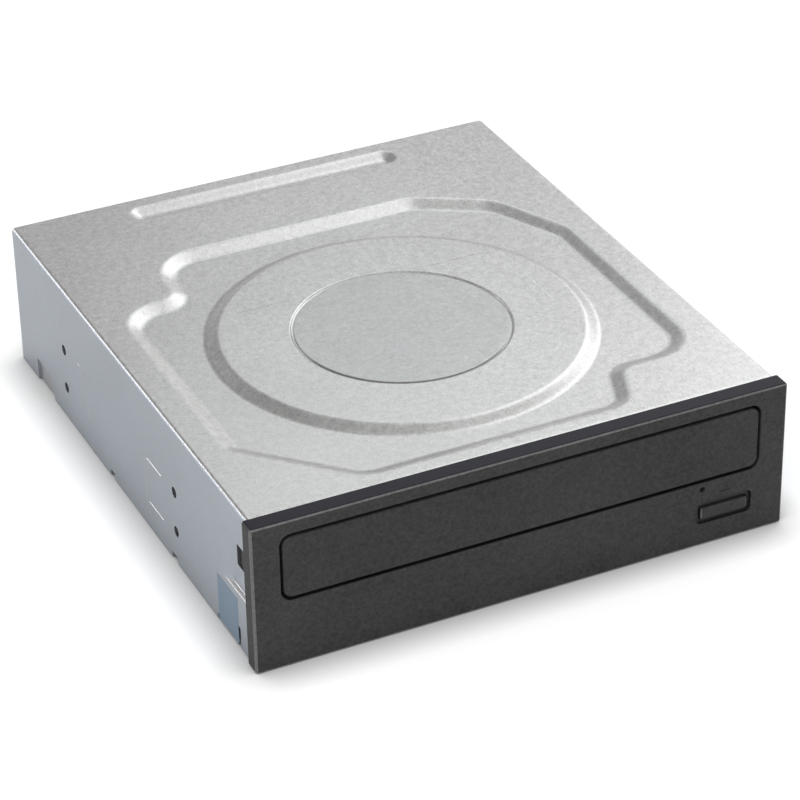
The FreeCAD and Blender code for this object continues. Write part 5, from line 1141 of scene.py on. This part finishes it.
def coil(tree, steps, turns, radius, height, sides, ridge, start):
    """A thread's ridge: a small section swept along a spiral that winds up from a start."""
    spiral = put(tree, "GeometryNodeCurveSpiral", {
        "Resolution": steps, "Rotations": turns, "Start Radius": radius, "End Radius": radius,
        "Height": height})
    section = put(tree, "GeometryNodeCurvePrimitiveCircle", {"Resolution": sides, "Radius": ridge})
    wound = put(tree, "GeometryNodeCurveToMesh", {
        0: spiral.outputs[0], 1: section.outputs[0], "Fill Caps": True})
    return moved(tree, wound.outputs[0], Translation=vector(tree, z=start))


def finish_tree(tree, given, out, shape):
    """End a tree: a turned copy of the shape on each point, made real, with its material."""
    turn = put(tree, "GeometryNodeInputNamedAttribute", {"Name": "turn"}, data_type="FLOAT")
    turned = vector(tree, z=turn.outputs["Attribute"])
    facing = put(tree, "FunctionNodeEulerToRotation", {0: turned}).outputs[0]
    places = {"Points": given["Geometry"], "Instance": shape, "Rotation": facing}
    placed = put(tree, "GeometryNodeInstanceOnPoints", places)
    real = put(tree, "GeometryNodeRealizeInstances", {0: placed.outputs[0]})
    coated = put(tree, "GeometryNodeSetMaterial", {0: real.outputs[0], "Material": given["Finish"]})
    tree.links.new(coated.outputs[0], out.inputs[0])


def grow(name, tree, points, turns, values, material, crease=32.0):
    """Run a tree on loose points in metres, each with a turn, and keep the plain mesh."""
    mesh = bpy.data.meshes.new(name)
    mesh.from_pydata(points, [], [])
    mesh.attributes.new("turn", "FLOAT", "POINT").data.foreach_set("value", turns)
    obj = add_object(name, mesh)
    run = obj.modifiers.new("grow", "NODES")
    run.node_group = tree
    sockets = {item.name: item.identifier for item in tree.interface.items_tree if item.in_out == "INPUT"}
    for title, value in values.items():
        run[sockets[title]] = value
    run[sockets["Finish"]] = material
    return settle(obj, crease)


print("tree tools ready")

# %% A tree for screws
screw_tree, given, out = geometry_tree("screws_on_points", {
    "Head Radius": 2.7 * MM, "Head Height": 1.3 * MM, "Shank Radius": 1.3 * MM, "Shank Length": 8.0 * MM,
    "Thread Pitch": 0.5 * MM, "Tilt": 0.0})
tree = screw_tree
rim_h = times(tree, given["Head Height"], 0.55)
dome_h = times(tree, given["Head Height"], 0.45)
rim = cylinder(tree, 40, given["Head Radius"], rim_h, times(tree, rim_h, 0.5))
dome = put(tree, "GeometryNodeMeshCone", {
    "Vertices": 40, "Side Segments": 1, "Radius Top": times(tree, given["Head Radius"], 0.72),
    "Radius Bottom": given["Head Radius"], "Depth": dome_h}).outputs["Mesh"]
dome = moved(tree, dome, Translation=vector(tree, z=rim_h))
head = put(tree, "GeometryNodeMeshBoolean", operation="UNION", solver="EXACT")
for part in (rim, dome):
    tree.links.new(part, head.inputs["Mesh 2"])
slot_w = times(tree, given["Head Radius"], 0.24)
slot_l = times(tree, given["Head Radius"], 1.15)
cut = {"Mesh 1": head.outputs["Mesh"]}
cross = put(tree, "GeometryNodeMeshBoolean", cut, operation="DIFFERENCE", solver="EXACT")
for w, l in ((slot_w, slot_l), (slot_l, slot_w)):
    arm = put(tree, "GeometryNodeMeshCube", {"Size": vector(tree, w, l, given["Head Height"])})
    arm = moved(tree, arm.outputs["Mesh"], Translation=vector(tree, z=given["Head Height"]))
    tree.links.new(arm, cross.inputs["Mesh 2"])
shank_low = times(tree, given["Shank Length"], -1.0)
core_r = times(tree, given["Shank Radius"], 0.86)
core = cylinder(tree, 24, core_r, given["Shank Length"], times(tree, shank_low, 0.5))
run_l = maths(tree, "SUBTRACT", given["Shank Length"], given["Thread Pitch"])
start = maths(tree, "ADD", shank_low, times(tree, given["Thread Pitch"], 0.4))
rounds = maths(tree, "DIVIDE", run_l, given["Thread Pitch"])
thread_r, ridge_r = (times(tree, given["Shank Radius"], share) for share in (0.90, 0.10))
thread = coil(tree, 14, rounds, thread_r, run_l, 4, ridge_r, start)
one = moved(tree, joined(tree, [cross.outputs["Mesh"], core, thread]), Rotation=vector(tree, given["Tilt"]))
finish_tree(tree, given, out, one)
print("tree:", tree.name)

# %% The four kinds of screw
def put_screws(name, node, head_r, head_h, shank_r, pitch, tilt=0.0):
    """Replace a node's screws. The head is on top, or below when tilt is half a turn."""
    boxes = solids_of(node)
    low, high = boxes[0]
    places = []
    for a, b in boxes:
        seat = b.z - head_h * MM if tilt == 0 else a.z + head_h * MM
        places.append(((a.x + b.x) / 2, (a.y + b.y) / 2, seat))
    turns = [0.7 * i + 0.25 for i in range(len(places))]
    values = {
        "Head Radius": head_r * MM, "Head Height": head_h * MM, "Shank Radius": shank_r * MM,
        "Shank Length": high.z - low.z - head_h * MM, "Thread Pitch": pitch * MM, "Tilt": tilt}
    piece = grow(name, screw_tree, places, turns, values, finish["screw_steel"])
    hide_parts(node)
    return piece


SCREWS = [
    ("case_screws", "cover_screws", 2.7, 1.3, 1.3, 0.5, math.pi, "case"),
    ("clamp_bridge_screws", "bridge_screws", 2.3, 1.3, 1.25, 0.5, 0.0, "case"),
    ("circuit_screws", "board_screws", 2.4, 1.3, 1.25, 0.5, 0.0, "case"),
    ("shoulder_screws", "damper_screws", 3.4, 1.2, 1.2, 0.5, 0.0, "lift")]
for name, node, head_r, head_h, shank_r, pitch, tilt, body_name in SCREWS:
    piece = put_screws(name, node, head_r, head_h, shank_r, pitch, tilt)
    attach(piece, body_name)
    print(name, len(piece.data.polygons), "faces")

# %% A tree for small blocks in rows
block_tree, given, out = geometry_tree("blocks_on_points", {
    "Width": 0.3 * MM, "Length": 1.0 * MM, "Height": 0.15 * MM})
tree = block_tree
size = vector(tree, given["Width"], given["Length"], given["Height"])
finish_tree(tree, given, out, put(tree, "GeometryNodeMeshCube", {"Size": size}).outputs["Mesh"])
print("tree:", tree.name)

# %% Pins of the chips
PIN_PITCH, PIN_L, PIN_T = 1.0 * MM, 1.0 * MM, 0.2 * MM
pin_places, pin_turns = [], []
for low, high in solids_of("board_chips"):
    size = high - low
    sides = ("x", "y") if size.x == size.y or size.x > 10 * MM else ("y",)
    for side_axis in sides:
        along, across = (0, 1) if side_axis == "x" else (1, 0)
        count = int((size[along] - 1.5 * MM) / PIN_PITCH)
        for i in range(count):
            for edge_at in (low[across], high[across]):
                spot = [0.0, 0.0, low.z + PIN_T / 2]
                spot[along] = (low[along] + high[along]) / 2 + (i - (count - 1) / 2) * PIN_PITCH
                spot[across] = edge_at
                pin_places.append(tuple(spot))
                pin_turns.append(0.0 if side_axis == "x" else math.pi / 2)
pin_values = {"Width": 0.4 * MM, "Length": PIN_L, "Height": PIN_T}
pins = grow("chip_pins", block_tree, pin_places, pin_turns, pin_values, finish["screw_steel"])
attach(pins, "case")
print("chip pins:", len(pin_places))

# %% Contacts of the rear plug
plug_low, plug_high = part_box("plug_housing")
CONTACT_PITCH, BLADE_T = 1.27 * MM, 1.2 * MM
contact_z = (plug_low.z + plug_high.z) / 2 + BLADE_T / 2 + 0.05 * MM
contact_y = plug_high.y - 4.6 * MM
rows = [(plug_high.x - 6.4 * MM, 7), (plug_high.x - 25.6 * MM, 15)]
contacts = [
    (x + (i - (count - 1) / 2) * CONTACT_PITCH, contact_y, contact_z)
    for x, count in rows for i in range(count)]
contact_values = {"Width": 0.75 * MM, "Length": 7.0 * MM, "Height": 0.12 * MM}
no_turns = [0.0] * len(contacts)
blades = grow("plug_contacts", block_tree, contacts, no_turns, contact_values, finish["contact_gold"])
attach(blades, "case")
print("plug contacts:", len(contacts))

# %% Lead screw with its thread
lead_low, lead_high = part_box("lead_screw")
lead_tree, given, out = geometry_tree("lead_thread", {
    "Core Radius": 1.15 * MM, "Ridge": 0.3 * MM, "Pitch": 3.0 * MM, "Length": 60 * MM,
    "Thread Length": 50 * MM, "Start": 1.7 * MM})
tree = lead_tree
core = cylinder(tree, 40, given["Core Radius"], given["Length"], times(tree, given["Length"], 0.5))
helix = coil(
    tree, 40, maths(tree, "DIVIDE", given["Thread Length"], given["Pitch"]), given["Core Radius"],
    given["Thread Length"], 10, given["Ridge"], given["Start"])
finish_tree(tree, given, out, moved(tree, joined(tree, [core, helix]), Rotation=(-math.pi / 2, 0, 0)))
lead_l = lead_high.y - lead_low.y
lead_place = ((lead_low.x + lead_high.x) / 2, lead_low.y, (lead_low.z + lead_high.z) / 2)
lead_values = {"Length": lead_l, "Thread Length": lead_l - 5.2 * MM}
lead = grow("lead_screw_thread", lead_tree, [lead_place], [0.0], lead_values, finish["rod_steel"], 50.0)
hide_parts("lead_screw")
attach(lead, "screw")
print("lead screw:", round(lead_l / MM, 1), "mm")

# %% [markdown]
# ## Solids that keep their shape
# A solid from the frame is a heap of loose triangles, so its round faces would
# show facets. A merged copy with smooth rounds and sharp or softly bevelled edges
# stands for each of the rest, in the finish of its slot.

# %% Merged copies of the remaining solids
REPLACED = {
    "top_cover", "front_bezel", "tray_door", "eject_button", "damping_pad", "seal_tape", "lead_screw",
    "cover_screws", "bridge_screws", "board_screws", "damper_screws"}
OTHER_NAMES = {"zinc_sheet": "zinc_floor"}
SMOOTH_EDGE = 28.0
FLAT_ANGLE = math.radians(0.2)
SOFT_EDGES = {
    "disc_tray": 0.25, "main_chassis": 0.15, "clamper": 0.15, "pickup_base": 0.2, "lens_cover": 0.15}
groups = frame["record"]["behaviour"]["bodies"]
body_at = {node: body for body, group in groups.items() for node in group}
copies = 0
for row in frame["record"]["subparts"]:
    name = row["node"]
    node = nodes[name]
    material = finish[OTHER_NAMES.get(row["material_slot"], row["material_slot"])]
    if not node.data.materials:
        node.data.materials.append(material)
    for i in range(len(node.data.materials)):
        node.data.materials[i] = material
    if name in REPLACED:
        continue
    form = bmesh.new()
    form.from_mesh(node.data)
    bmesh.ops.remove_doubles(form, verts=form.verts, dist=2e-7)
    bmesh.ops.dissolve_degenerate(form, edges=form.edges, dist=1e-7)
    bmesh.ops.dissolve_limit(form, angle_limit=FLAT_ANGLE, verts=form.verts, edges=form.edges)
    mesh = bpy.data.meshes.new(name + "_form")
    form.to_mesh(mesh)
    form.free()
    mesh.materials.clear()
    mesh.materials.append(material)
    copy = add_object(name + "_form", mesh)
    if name in SOFT_EDGES:
        soft = copy.modifiers.new("soft_edges", "BEVEL")
        soft.width = SOFT_EDGES[name] * MM
        soft.segments = 2
        soft.limit_method = "ANGLE"
        soft.angle_limit = math.radians(40)
    settle(copy, SMOOTH_EDGE)
    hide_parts(name)
    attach(copy, body_at[name])
    copies += 1
print("merged copies:", copies)

# %% [markdown]
# ## Corners of boxes as plain numbers
# The visual model must stay inside the box of the solids.

# %% Corners as plain numbers
def plain(corners):
    """Corners as lists of numbers."""
    return [[round(v, 6) for v in corner] for corner in corners]
